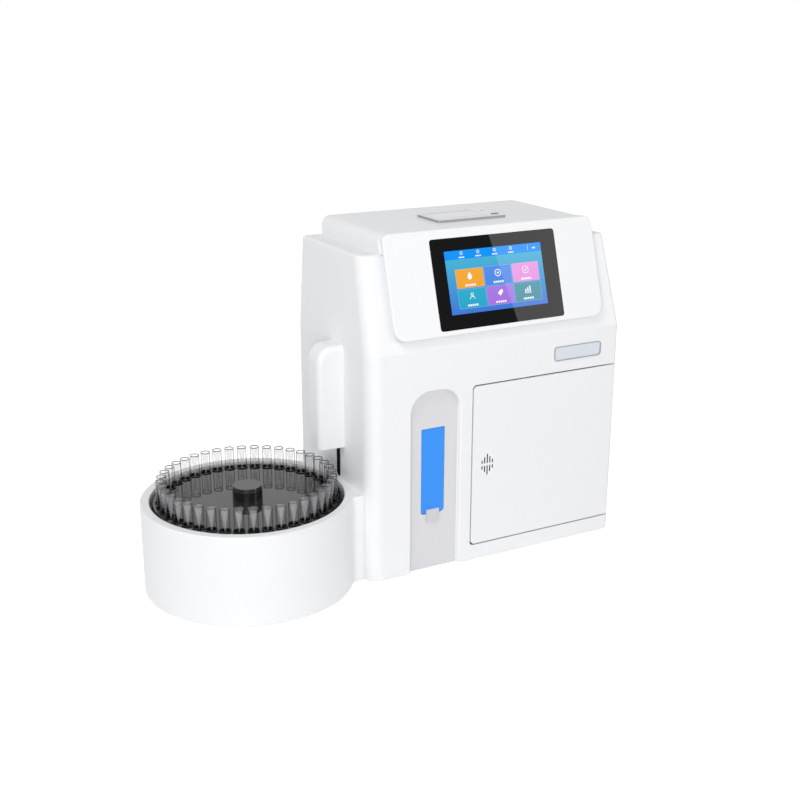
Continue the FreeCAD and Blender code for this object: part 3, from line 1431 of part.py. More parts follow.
def rear_panel():
    """Sheet panel behind the opening in the back, with vents and holes for what it carries."""
    body = new_body("rear_panel")
    face = "(%s - panel_thickness)" % PANEL_FRONT
    plate = rectangle(body, "XZ", "panel_left - panel_lap", "panel_right + panel_lap",
                      "panel_bottom - panel_lap", "panel_top + panel_lap", level=face)
    pad(body, plate, "panel_thickness")
    upright = [feature for feature in body.Origin.OriginFeatures if feature.Role == "Z_Axis"]
    for column in range(2):
        left = "vent_left + %d * (vent_width + 2 * panel_lap)" % column
        vent = rectangle(body, "XZ", left, left + " + vent_width", "vent_bottom",
                         "vent_bottom + vent_slot", level=face)
        pocket(body, vent, "panel_thickness")
        slot = body.Tip
        pattern = body.newObject("PartDesign::LinearPattern", "Vents")
        pattern.Originals = [slot]
        pattern.Direction = (upright[0], [""])
        bind(pattern, "Length", "(vent_count - 1) * vent_pitch")
        bind(pattern, "Occurrences", "vent_count")
        body.Tip = pattern
        doc.recompute()
    for x, z, width, height in (("socket_x", "inlet_z", "inlet_body_width", "inlet_body_height"),
                                ("socket_x", "switch_z", "(switch_width - 2 * wall)",
                                 "(switch_height - 2 * wall)"),
                                ("serial_x", "inlet_z", "serial_shell_width", "serial_shell_height")):
        hole = rectangle(body, "XZ", "%s - %s / 2" % (x, width), "%s + %s / 2" % (x, width),
                         "%s - %s / 2" % (z, height), "%s + %s / 2" % (z, height), level=face)
        pocket(body, hole, "panel_thickness")
    head = Part.makeCylinder(number("screw_radius"), number("screw_height"), vector(0, 0, 0), vector(0, 1, 0))
    columns = ("panel_left + panel_lap", "panel_right - panel_lap")
    rows = ("panel_bottom + panel_lap", "(panel_bottom + panel_top) / 2", "panel_top - panel_lap")
    places = [at(x, PANEL_FRONT, z) for x in columns for z in rows]
    group("rear_screws", head, places)


def power_inlet():
    """Three-pin inlet: a flange on the panel, and a body behind it that is open to the rear."""
    body = new_body("power_inlet", "socket_x", PANEL_FRONT, "inlet_z")
    pad(body, rectangle(body, "XZ", "-inlet_width / 2", "inlet_width / 2", "-inlet_height / 2",
                        "inlet_height / 2"), "inlet_flange")
    half_width = "(inlet_body_width / 2 - seat_gap / 2)"
    half_height = "(inlet_body_height / 2 - seat_gap / 2)"
    pad(body, rectangle(body, "XZ", "-" + half_width, half_width, "-" + half_height, half_height,
                        level="-inlet_depth"), "inlet_depth")
    inner_width = half_width + " - inlet_wall"
    inner_height = half_height + " - inlet_wall"
    room = rectangle(body, "XZ", "-(%s)" % inner_width, inner_width, "-(%s)" % inner_height, inner_height,
                     level="inlet_wall - inlet_depth")
    pocket(body, room, "inlet_depth + inlet_flange - inlet_wall")
    for x, z in (("-inlet_pin_spacing", "-inlet_wall"), ("0", "inlet_wall"),
                 ("inlet_pin_spacing", "-inlet_wall")):
        pin = rectangle(body, "XZ", x + " - inlet_wall / 2", x + " + inlet_wall / 2",
                        z + " - inlet_wall", z + " + inlet_wall", level="inlet_wall - inlet_depth")
        pad(body, pin, "inlet_depth - 2 * inlet_wall")


def power_switch():
    """Bezel with a rocker that tips about a level axis."""
    frame = new_body("switch_frame", "socket_x", PANEL_FRONT, "switch_z")
    pad(frame, rectangle(frame, "XZ", "-switch_width / 2", "switch_width / 2", "-switch_height / 2",
                         "switch_height / 2"), "wall")
    inner_width = "(switch_width / 2 - wall - seat_gap / 2)"
    inner_height = "(switch_height / 2 - wall - seat_gap / 2)"
    pad(frame, rectangle(frame, "XZ", "-" + inner_width, inner_width, "-" + inner_height, inner_height,
                         level="-4 * wall"), "4 * wall")
    room_width = "(rocker_width / 2 + seat_gap)"
    room_height = "(switch_height / 2 - wall - 2 * seat_gap)"
    room = rectangle(frame, "XZ", "-" + room_width, room_width, "-" + room_height, room_height,
                     level="-3 * wall")
    pocket(frame, room, "4 * wall")
    bore = circles(frame, "YZ", [("wall - rocker_pivot_depth", "0")], "rocker_pin_radius + running_gap",
                   "-" + inner_width)
    pocket(frame, bore, "2 * " + inner_width)
    rocker = new_body("power_rocker", "socket_x", PANEL_FRONT + " + wall - rocker_pivot_depth", "switch_z")
    tip_y = "(rocker_proud + rocker_reach * sin(rocker_swing))"
    tip_z = "(rocker_reach * cos(rocker_swing))"
    shape = [("-rocker_proud", "-rocker_reach / 2"), ("rocker_proud", "-rocker_reach"), ("rocker_proud", "0"),
             (tip_y, tip_z), ("-rocker_proud", "rocker_reach / 2")]
    pad(rocker, outline(rocker, "YZ", shape, "-rocker_width / 2"), "rocker_width")
    pin = circles(rocker, "YZ", [("0", "0")], "rocker_pin_radius", "-rocker_width / 2 - rocker_pin_reach")
    pad(rocker, pin, "rocker_width + 2 * rocker_pin_reach")


def serial_port():
    """Nine-way connector: a flange and a shell that looks out to the rear."""
    body = new_body("serial_port", "serial_x", PANEL_FRONT, "inlet_z")
    pad(body, rectangle(body, "XZ", "-serial_width / 2", "serial_width / 2", "-serial_height / 2",
                        "serial_height / 2"), "panel_thickness")
    half_width = "(serial_shell_width / 2 - seat_gap / 2)"
    half_height = "(serial_shell_height / 2 - seat_gap / 2)"
    pad(body, rectangle(body, "XZ", "-" + half_width, half_width, "-" + half_height, half_height,
                        level="-2 * serial_reach"), "3 * serial_reach")
    inner_width = half_width + " - panel_thickness / 2"
    inner_height = half_height + " - panel_thickness / 2"
    pocket(body, rectangle(body, "XZ", "-(%s)" % inner_width, inner_width, "-(%s)" % inner_height,
                           inner_height), "serial_reach")


main_shell()
base_plate()
top_hood()
fascia()
display()
name_badge()
door()
bay_liner()
door_catch()
sampling_flap()
sampling_port()
arm_housing()
arm_guide()
probe()
tray()
carousel_drive()
carousel()
sample_cups()
feet()
pins()
printer()
electrodes()
pump()
reagent_pack()
base_electronics()
rear_panel()
power_inlet()
power_switch()
serial_port()

for item in doc.Objects:
    if "Invalid" in item.State or "Error" in item.State:
        raise RuntimeError("%s failed: %s" % (item.Label, item.State))
for part in subparts:
    if part.Shape.isNull() or not part.Shape.isValid():
        raise RuntimeError("%s has no valid shape" % part.Label)
for part in subparts:
    part.Shape.exportStep("parts/%s.step" % part.Label)
    print(part.Label, len(part.Shape.Solids), round(part.Shape.Volume), part.Shape.BoundBox)
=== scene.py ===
"""Looks of the bench-top electrolyte analyzer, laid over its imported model."""

import math

import bmesh
import bpy
from mathutils import Matrix, Vector


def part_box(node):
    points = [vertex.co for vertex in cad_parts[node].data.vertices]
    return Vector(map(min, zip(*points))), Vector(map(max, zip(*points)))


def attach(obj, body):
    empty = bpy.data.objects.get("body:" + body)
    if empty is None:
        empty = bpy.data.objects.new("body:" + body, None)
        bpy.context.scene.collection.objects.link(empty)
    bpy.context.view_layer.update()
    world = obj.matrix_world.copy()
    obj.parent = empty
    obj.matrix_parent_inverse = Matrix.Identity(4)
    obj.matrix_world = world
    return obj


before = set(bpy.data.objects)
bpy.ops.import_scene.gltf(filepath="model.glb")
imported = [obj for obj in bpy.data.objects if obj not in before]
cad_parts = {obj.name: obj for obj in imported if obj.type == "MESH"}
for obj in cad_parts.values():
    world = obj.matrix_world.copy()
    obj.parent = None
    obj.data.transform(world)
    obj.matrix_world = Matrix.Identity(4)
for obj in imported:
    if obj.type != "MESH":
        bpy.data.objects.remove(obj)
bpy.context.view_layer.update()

MM = 0.001

# Camera
CAMERA_PLACE = Vector((-0.7466, -1.4313, 0.7436))
CAMERA_AIM = Vector((0.4566, 0.8361, -0.3044))
CAMERA_ROLL = math.radians(0.16)
CAMERA_LENS = 55.06

# Floor, surroundings and lamps: places, sizes in metres and powers in watts
FLOOR_RADIUS = 6.0
FLOOR_GLOW = 0.74
SKY_STRENGTH = 0.48
BODY_AIM = Vector((0.0, 0.0, 0.2))
SCREEN_AIM = Vector((0.14, -0.08, 0.4))
FRONT_LAMP_PLACE = Vector((-1.75, -2.75, 0.75))
FRONT_LAMP_SIZE = (1.8, 1.4)
FRONT_LAMP_POWER = 38.0
HIGH_LAMP_PLACE = Vector((-1.3, -0.9, 2.5))
HIGH_LAMP_SIZE = (0.9, 0.9)
HIGH_LAMP_POWER = 20.0
GLASS_LAMP_PLACE = Vector((1.993, -2.333, 1.28))
GLASS_LAMP_SIZE = (0.5, 0.8)
GLASS_LAMP_POWER = 10.0

# Cover glass, which leans back with the front above the crease
LEAN = math.radians(17.2)
GLASS_THICKNESS = 2.0 * MM
PICTURE_LEFT = 20.0 * MM
PICTURE_BOTTOM = 19.7 * MM
PICTURE_WIDTH = 152.6 * MM
PICTURE_HEIGHT = 84.0 * MM
LAYER = 0.04 * MM

# Layout of the picture, in shares of its width and height
TILE_LEFT = 0.085
TILE_BOTTOM = 0.40
TILE_STEP_ACROSS = 0.29
TILE_STEP_DOWN = 0.32
TILE_WIDTH = 0.28
TILE_HEIGHT = 0.30
HEADER_BOTTOM = 0.86
HEADER_SIGN_HEIGHT = 0.953
HEADER_WORD_HEIGHT = 0.878
HEADER_FIRST_SIGN = 0.17
HEADER_STEP = 0.17
DIVIDER_LEFT = 0.86
DIVIDER_BOTTOM = 0.885
DIVIDER_TOP = 0.975
SHORT_WORD_MIDDLE = 0.925
SHORT_WORD_HEIGHT = 0.91

# Heights of a tile's sign and word, in shares of the tile
ICON_HEIGHT = 0.62
ICON_WORD_HEIGHT = 0.09

# Sizes of the picture's signs and lines, and of the blocks that stand for words
ICON_SIZE = 5.6 * MM
ICON_WORD = 2.6 * MM
HEADER_SIGN = 1.8 * MM
HEADER_RING_WIDTH = 0.8 * MM
HEADER_WORD = 1.7 * MM
SHORT_WORD = 2.0 * MM
DIVIDER_WIDTH = 0.4 * MM
BLOCK_STEP = 1.3
TILE_CORNER = 0.6 * MM
OUTLINE_WIDTH = 0.3 * MM

# Cups and their sockets on the disc, and how opaque the cups' parts are
CUP_COUNT = 40
CUP_CIRCLE = 114.0 * MM
SOCKET_INNER = 6.8 * MM
SOCKET_WALL = 1.4 * MM
SOCKET_HEIGHT = 1.2 * MM
# Height and opacity of the painted shade on each cup's rim
RIM_HEIGHT = 0.9 * MM
RIM_OPACITY = 0.8
WALL_OPACITY = 0.06
CONE_OPACITY = 0.21
# Reach of the tray's painted shade beyond the disc's edge
WELL_GAP = 4.7 * MM

# What counts as a cup's upright wall, and the slants between which its edge gets painted shade
UPRIGHT_LIMIT = 0.05
EDGE_START = 0.3
EDGE_END = 0.8

# Name badge
BADGE_RIM = 1.5 * MM
BADGE_RADIUS = 5.0 * MM

# Square round the door's grille, whose slot walls get painted shade: its inset from the door's left edge,
# and its reach
GRILLE_INSET = 6.0 * MM
GRILLE_REACH = 30.0 * MM

# Faces that point less than this along an axis count as the grille's walls and as the plates' edges, which
# both get painted shade
SLOT_WALL_LIMIT = 0.5
PLATE_TOP_LIMIT = 0.6

# Arched recess in the front, whose back face gets a greyer tint as painted shade
RECESS_WIDTH = 76.0 * MM
RECESS_DEPTH = 7.0 * MM
RECESS_MARGIN = 1.5 * MM
RECESS_ABOVE_FLAP = 60.0 * MM

# Depth of the fine texture on plastics and metals
SMOOTH_TEXTURE = 0.004 * MM
METAL_TEXTURE = 0.005 * MM
FINE_TEXTURE = 0.01 * MM
COARSE_TEXTURE = 0.03 * MM

# Corners of a made shape that are nearer than this become one
MERGE_DISTANCE = 0.001 * MM


def paint(red, green, blue):
    """Turns a colour as a screen shows it, 0 to 255, into the linear colour that nodes take."""
    def linear(level):
        share = level / 255
        return share / 12.92 if share <= 0.04045 else ((share + 0.055) / 1.055) ** 2.4
    return (linear(red), linear(green), linear(blue), 1.0)


PURE_WHITE = (1.0, 1.0, 1.0, 1.0)
FLOOR_GREY = (0.8, 0.8, 0.8, 1.0)
WHITE_MOULDING = paint(240, 241, 243)
# Painted shade for the back face of the arched recess
RECESS_PAINTED_SHADE = paint(218, 218, 221)
# Painted shade for the upright edges of the printer's plates
PLATE_EDGE_PAINTED_SHADE = paint(158, 159, 161)
# Painted shade for the walls of the door's grille slots
SLOT_PAINTED_SHADE = paint(52, 53, 55)
# Painted shade for the inside of the tray round the disc
WELL_PAINTED_SHADE = paint(6, 6, 7)
SCREEN_BLACK = paint(7, 7, 9)
CUP_CLEAR = paint(226, 227, 229)
# Painted shade for the clear pieces' edges and rims
CUP_EDGE_PAINTED_SHADE = paint(40, 41, 43)
GLASS_SPECULAR = 0.09
FLAP_BLUE = paint(34, 143, 245)


# Shared effects for materials

def open_group(name, inputs, outputs):
    """Starts a shader group with named sockets and returns its tree and its two ends."""
    tree = bpy.data.node_groups.new(name, "ShaderNodeTree")
    for label, kind, value in inputs:
        socket = tree.interface.new_socket(label, in_out="INPUT", socket_type=kind)
        if value is not None:
            socket.default_value = value
    for label, kind in outputs:
        tree.interface.new_socket(label, in_out="OUTPUT", socket_type=kind)
    entry = tree.nodes.new("NodeGroupInput")
    leave = tree.nodes.new("NodeGroupOutput")
    return tree, entry.outputs, leave.inputs


def noise(tree, vector, scale, detail=2.0):
    """Adds a noise pattern and returns its value."""
    node = tree.nodes.new("ShaderNodeTexNoise")
    node.inputs["Scale"].default_value = scale
    node.inputs["Detail"].default_value = detail
    tree.links.new(vector, node.inputs["Vector"])
    return node.outputs["Fac"]


def calculate(tree, operation, first, second=None, third=None):
    """Adds one Math node. Each of its terms is a number or another node's output."""
    node = tree.nodes.new("ShaderNodeMath")
    node.operation = operation
    for slot, term in enumerate((first, second, third)):
        if term is None:
            continue
        if isinstance(term, (int, float)):
            node.inputs[slot].default_value = term
        else:
            tree.links.new(term, node.inputs[slot])
    return node.outputs[0]


def calculate_vector(tree, operation, first, second=None):
    """Adds one Vector Math node on a vector and a constant vector, and returns the node."""
    node = tree.nodes.new("ShaderNodeVectorMath")
    node.operation = operation
    tree.links.new(first, node.inputs[0])
    if second is not None:
        node.inputs[1].default_value = second
    return node


def split_vector(tree, vector):
    """Adds a Separate XYZ node and returns its three outputs."""
    node = tree.nodes.new("ShaderNodeSeparateXYZ")
    tree.links.new(vector, node.inputs["Vector"])
    return node.outputs


def shade(tree, tint, brightness):
    """Multiplies a colour by a value that varies over the surface."""
    node = tree.nodes.new("ShaderNodeHueSaturation")
    tree.links.new(tint, node.inputs["Color"])
    tree.links.new(brightness, node.inputs["Value"])
    return node.outputs["Color"]


def make_moulded_skin():
    """Moulded plastic: cloudy tint, patches of duller gloss and the fine texture of the mould."""
    tree, given, made = open_group(
        "moulded_skin",
        [("Coordinates", "NodeSocketVector", None), ("Tint", "NodeSocketColor", WHITE_MOULDING),
         ("Cloudiness", "NodeSocketFloat", 0.02), ("Dullness", "NodeSocketFloat", 0.3),
         ("Patchiness", "NodeSocketFloat", 0.08), ("Texture Scale", "NodeSocketFloat", 900.0)],
        [("Color", "NodeSocketColor"), ("Roughness", "NodeSocketFloat"), ("Height", "NodeSocketFloat")])
    cloud = calculate(tree, "SUBTRACT", noise(tree, given["Coordinates"], 7.0), 0.5)
    brightness = calculate(tree, "MULTIPLY_ADD", cloud, given["Cloudiness"], 1.0)
    patch = calculate(tree, "SUBTRACT", noise(tree, given["Coordinates"], 31.0, 4.0), 0.5)
    texture = tree.nodes.new("ShaderNodeTexNoise")
    texture.inputs["Detail"].default_value = 3.0
    tree.links.new(given["Coordinates"], texture.inputs["Vector"])
    tree.links.new(given["Texture Scale"], texture.inputs["Scale"])
    tree.links.new(shade(tree, given["Tint"], brightness), made["Color"])
    tree.links.new(calculate(tree, "MULTIPLY_ADD", patch, given["Patchiness"], given["Dullness"]),
                   made["Roughness"])
    tree.links.new(texture.outputs["Fac"], made["Height"])
    return tree


def make_drawn_metal():
    """Metal with fine lines along one direction, and gloss that follows the lines."""
    tree, given, made = open_group(
        "drawn_metal",
        [("Coordinates", "NodeSocketVector", None), ("Tint", "NodeSocketColor", paint(180, 182, 185)),
         ("Line Stretch", "NodeSocketVector", (60.0, 2500.0, 2500.0)), ("Dullness", "NodeSocketFloat", 0.35),
         ("Contrast", "NodeSocketFloat", 0.12)],
        [("Color", "NodeSocketColor"), ("Roughness", "NodeSocketFloat"), ("Height", "NodeSocketFloat")])
    stretch = tree.nodes.new("ShaderNodeVectorMath")
    stretch.operation = "MULTIPLY"
    tree.links.new(given["Coordinates"], stretch.inputs[0])
    tree.links.new(given["Line Stretch"], stretch.inputs[1])
    lines = noise(tree, stretch.outputs["Vector"], 1.0, 3.0)
    centred = calculate(tree, "SUBTRACT", lines, 0.5)
    brightness = calculate(tree, "MULTIPLY_ADD", centred, given["Contrast"], 1.0)
    tree.links.new(shade(tree, given["Tint"], brightness), made["Color"])
    tree.links.new(calculate(tree, "MULTIPLY_ADD", centred, given["Contrast"], given["Dullness"]),
                   made["Roughness"])
    tree.links.new(lines, made["Height"])
    return tree


def make_handling_marks():
    """Soft smudges left by hands, as extra dullness on glossy faces."""
    tree, given, made = open_group(
        "handling_marks",
        [("Coordinates", "NodeSocketVector", None), ("Dullness", "NodeSocketFloat", 0.05),
         ("Smudge", "NodeSocketFloat", 0.1)],
        [("Roughness", "NodeSocketFloat")])
    smear = noise(tree, given["Coordinates"], 38.0, 5.0)
    edge = calculate(tree, "SUBTRACT", smear, 0.52)
    mask = calculate(tree, "MAXIMUM", edge, 0.0)
    roughness = calculate(tree, "MULTIPLY_ADD", mask, given["Smudge"], given["Dullness"])
    tree.links.new(roughness, made["Roughness"])
    return tree


MOULDED_SKIN = make_moulded_skin()
DRAWN_METAL = make_drawn_metal()
HANDLING_MARKS = make_handling_marks()


# Materials

def new_material(name):
    """Starts a material and returns it with its shader and its Object coordinates."""
    material = bpy.data.materials.new(name)
    material.use_nodes = True
    tree = material.node_tree
    tree.nodes.clear()
    output = tree.nodes.new("ShaderNodeOutputMaterial")
    shader = tree.nodes.new("ShaderNodeBsdfPrincipled")
    place = tree.nodes.new("ShaderNodeTexCoord")
    tree.links.new(shader.outputs["BSDF"], output.inputs["Surface"])
    return material, shader, place.outputs["Object"]


def add_effect(material, effect, coordinates, **values):
    """Places a shared effect in a material with its own values and returns its outputs."""
    node = material.node_tree.nodes.new("ShaderNodeGroup")
    node.node_tree = effect
    material.node_tree.links.new(coordinates, node.inputs["Coordinates"])
    for label, value in values.items():
        node.inputs[label.replace("_", " ")].default_value = value
    return node.outputs


def add_bump(material, shader, height, depth):
    """Feeds a height through a Bump node into the shader."""
    bump = material.node_tree.nodes.new("ShaderNodeBump")
    bump.inputs["Distance"].default_value = depth
    bump.inputs["Strength"].default_value = 1.0
    material.node_tree.links.new(height, bump.inputs["Height"])
    material.node_tree.links.new(bump.outputs["Normal"], shader.inputs["Normal"])


def mixed(tree, factor, first, second):
    """Colour that goes from the first to a constant second by a factor."""
    blend = tree.nodes.new("ShaderNodeMix")
    blend.data_type = "RGBA"
    tree.links.new(factor, blend.inputs["Factor"])
    tree.links.new(first, blend.inputs["A"])
    blend.inputs["B"].default_value = second
    return blend.outputs["Result"]


def plastic(name, tint, dullness, depth=FINE_TEXTURE, **values):
    """Moulded plastic of one tint."""
    material, shader, coordinates = new_material(name)
    made = add_effect(material, MOULDED_SKIN, coordinates, Tint=tint, Dullness=dullness, **values)
    material.node_tree.links.new(made["Color"], shader.inputs["Base Color"])
    material.node_tree.links.new(made["Roughness"], shader.inputs["Roughness"])
    add_bump(material, shader, made["Height"], depth)
    return material


def metal(name, tint, dullness, stretch=(60.0, 2500.0, 2500.0), contrast=0.12):
    """Ground, drawn or brushed metal."""
    material, shader, coordinates = new_material(name)
    made = add_effect(material, DRAWN_METAL, coordinates, Tint=tint, Dullness=dullness,
                      Line_Stretch=stretch, Contrast=contrast)
    material.node_tree.links.new(made["Color"], shader.inputs["Base Color"])
    material.node_tree.links.new(made["Roughness"], shader.inputs["Roughness"])
    add_bump(material, shader, made["Height"], METAL_TEXTURE)
    shader.inputs["Metallic"].default_value = 1.0
    return material


def polished(name, tint, dullness, smudge=0.1, specular=0.5):
    """Smooth glossy face with faint smudges, such as acrylic sheet or cover glass."""
    material, shader, coordinates = new_material(name)
    skin = add_effect(material, MOULDED_SKIN, coordinates, Tint=tint, Cloudiness=0.05)
    marks = add_effect(material, HANDLING_MARKS, coordinates, Dullness=dullness, Smudge=smudge)
    material.node_tree.links.new(skin["Color"], shader.inputs["Base Color"])
    material.node_tree.links.new(marks["Roughness"], shader.inputs["Roughness"])
    shader.inputs["Specular IOR Level"].default_value = specular
    return material


def lit(name, bottom, top):
    """Lit part of the screen's picture, whose colour changes up the glass."""
    material, shader, coordinates = new_material(name)
    tree = material.node_tree
    low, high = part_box("display_glass")
    share = tree.nodes.new("ShaderNodeMapRange")
    blend = tree.nodes.new("ShaderNodeMix")
    blend.data_type = "RGBA"
    share.inputs["From Min"].default_value = low.z
    share.inputs["From Max"].default_value = high.z
    tree.links.new(split_vector(tree, coordinates)["Z"], share.inputs["Value"])
    tree.links.new(share.outputs["Result"], blend.inputs["Factor"])
    blend.inputs["A"].default_value = bottom
    blend.inputs["B"].default_value = top
    tree.links.new(blend.outputs["Result"], shader.inputs["Emission Color"])
    marks = add_effect(material, HANDLING_MARKS, coordinates, Dullness=0.01, Smudge=0.03)
    tree.links.new(marks["Roughness"], shader.inputs["Roughness"])
    shader.inputs["Base Color"].default_value = SCREEN_BLACK
    shader.inputs["Specular IOR Level"].default_value = GLASS_SPECULAR
    shader.inputs["Emission Strength"].default_value = 1.0
    return material


def clear_plastic(name, node, tint, painted_edge_shade):
    """Thin clear plastic of a node: almost unseen looked at squarely, with painted shade on its edges seen
    at a slant and on its rim.
    """
    material, shader, coordinates = new_material(name)
    tree = material.node_tree
    skin = add_effect(material, MOULDED_SKIN, coordinates, Tint=tint, Cloudiness=0.03)
    marks = add_effect(material, HANDLING_MARKS, coordinates, Dullness=0.05, Smudge=0.2)
    height = split_vector(tree, coordinates)["Z"]
    rise = face_direction(tree, coordinates)["Z"]
    rim = calculate(tree, "GREATER_THAN", height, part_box(node)[1].z - RIM_HEIGHT)
    upright = calculate(tree, "LESS_THAN", calculate(tree, "ABSOLUTE", rise), UPRIGHT_LIMIT)
    slant = tree.nodes.new("ShaderNodeLayerWeight")
    slant.inputs["Blend"].default_value = 0.5
    edge = tree.nodes.new("ShaderNodeMapRange")
    edge.inputs["From Min"].default_value = EDGE_START
    edge.inputs["From Max"].default_value = EDGE_END
    tree.links.new(slant.outputs["Facing"], edge.inputs["Value"])
    # Painted shade on the rim and on upright walls seen at a slant
    dark = calculate(tree, "MAXIMUM", rim, calculate(tree, "MULTIPLY", upright, edge.outputs["Result"]))
    body = calculate(tree, "MULTIPLY_ADD", upright, WALL_OPACITY - CONE_OPACITY, CONE_OPACITY)
    opacity = calculate(tree, "MAXIMUM", calculate(tree, "MULTIPLY", dark, RIM_OPACITY), body)
    # Upright walls and the rim take the painted edge shade
    colour = mixed(tree, calculate(tree, "MAXIMUM", rim, upright), skin["Color"], painted_edge_shade)
    tree.links.new(colour, shader.inputs["Base Color"])
    tree.links.new(marks["Roughness"], shader.inputs["Roughness"])
    tree.links.new(opacity, shader.inputs["Alpha"])
    shader.inputs["Coat Weight"].default_value = 0.5
    return material


def inside_box(tree, coordinates, low, high):
    """A value of 1 inside a box."""
    away = calculate_vector(tree, "SUBTRACT", coordinates, (low + high) / 2).outputs["Vector"]
    share = calculate_vector(tree, "DIVIDE", away, (high - low) / 2).outputs["Vector"]
    size = split_vector(tree, calculate_vector(tree, "ABSOLUTE", share).outputs["Vector"])
    flat = calculate(tree, "MAXIMUM", size["X"], size["Y"])
    return calculate(tree, "LESS_THAN", calculate(tree, "MAXIMUM", flat, size["Z"]), 1.0)


def inside_circle(tree, coordinates, middle, radius):
    """A value of 1 nearer to an upright axis than a radius."""
    flat = calculate_vector(tree, "MULTIPLY", coordinates, (1.0, 1.0, 0.0)).outputs["Vector"]
    away = calculate_vector(tree, "DISTANCE", flat, (middle.x, middle.y, 0.0)).outputs["Value"]
    return calculate(tree, "LESS_THAN", away, radius)


def face_direction(tree, coordinates):
    """The three parts of the direction that a face points in, on the piece itself."""
    return split_vector(tree, coordinates.node.outputs["Normal"])


def white_moulding(name, painted_shade_tint=WHITE_MOULDING, mask=None):
    """White moulded plastic, with a painted shade tint where the mask says so."""
    material, shader, coordinates = new_material(name)
    tree = material.node_tree
    made = add_effect(material, MOULDED_SKIN, coordinates, Tint=WHITE_MOULDING, Dullness=0.45)
    colour = made["Color"]
    if mask:
        colour = mixed(tree, mask(tree, coordinates), colour, painted_shade_tint)
    tree.links.new(colour, shader.inputs["Base Color"])
    tree.links.new(made["Roughness"], shader.inputs["Roughness"])
    add_bump(material, shader, made["Height"], SMOOTH_TEXTURE)
    return material


def plate_edge_shade_mask(tree, coordinates):
    """The upright edges of a flat plate, which get grey painted shade."""
    return calculate(tree, "LESS_THAN", face_direction(tree, coordinates)["Z"], PLATE_TOP_LIMIT)


def grille_slot_shade_mask(tree, coordinates):
    """The walls of the slots in the door, which get dark grey painted shade."""
    low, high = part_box("door_panel")
    middle = (low.z + high.z) / 2
    start = Vector((low.x + GRILLE_INSET, low.y - MM, middle - GRILLE_REACH))
    end = Vector((low.x + GRILLE_INSET + GRILLE_REACH, high.y + MM, middle + GRILLE_REACH))
    turned = calculate(tree, "ABSOLUTE", face_direction(tree, coordinates)["Y"])
    wall = calculate(tree, "LESS_THAN", turned, SLOT_WALL_LIMIT)
    return calculate(tree, "MULTIPLY", wall, inside_box(tree, coordinates, start, end))


def recess_shade_mask(tree, coordinates):
    """The back face of the arched recess in the front, which gets a greyer tint as painted shade."""
    flap_low, flap_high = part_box("sampling_flap")
    middle = (flap_low.x + flap_high.x) / 2
    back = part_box("main_shell")[0].y + RECESS_DEPTH
    low = Vector((middle - RECESS_WIDTH / 2, back - RECESS_MARGIN, 0.0))
    high = Vector((middle + RECESS_WIDTH / 2, back + RECESS_MARGIN, flap_high.z + RECESS_ABOVE_FLAP))
    return inside_box(tree, coordinates, low, high)


def well_shade_mask(tree, coordinates):
    """The inside of the tray round the disc, which gets near-black painted shade."""
    low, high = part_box("carousel_disc")
    return inside_circle(tree, coordinates, (low + high) / 2, (high.x - low.x) / 2 + WELL_GAP)


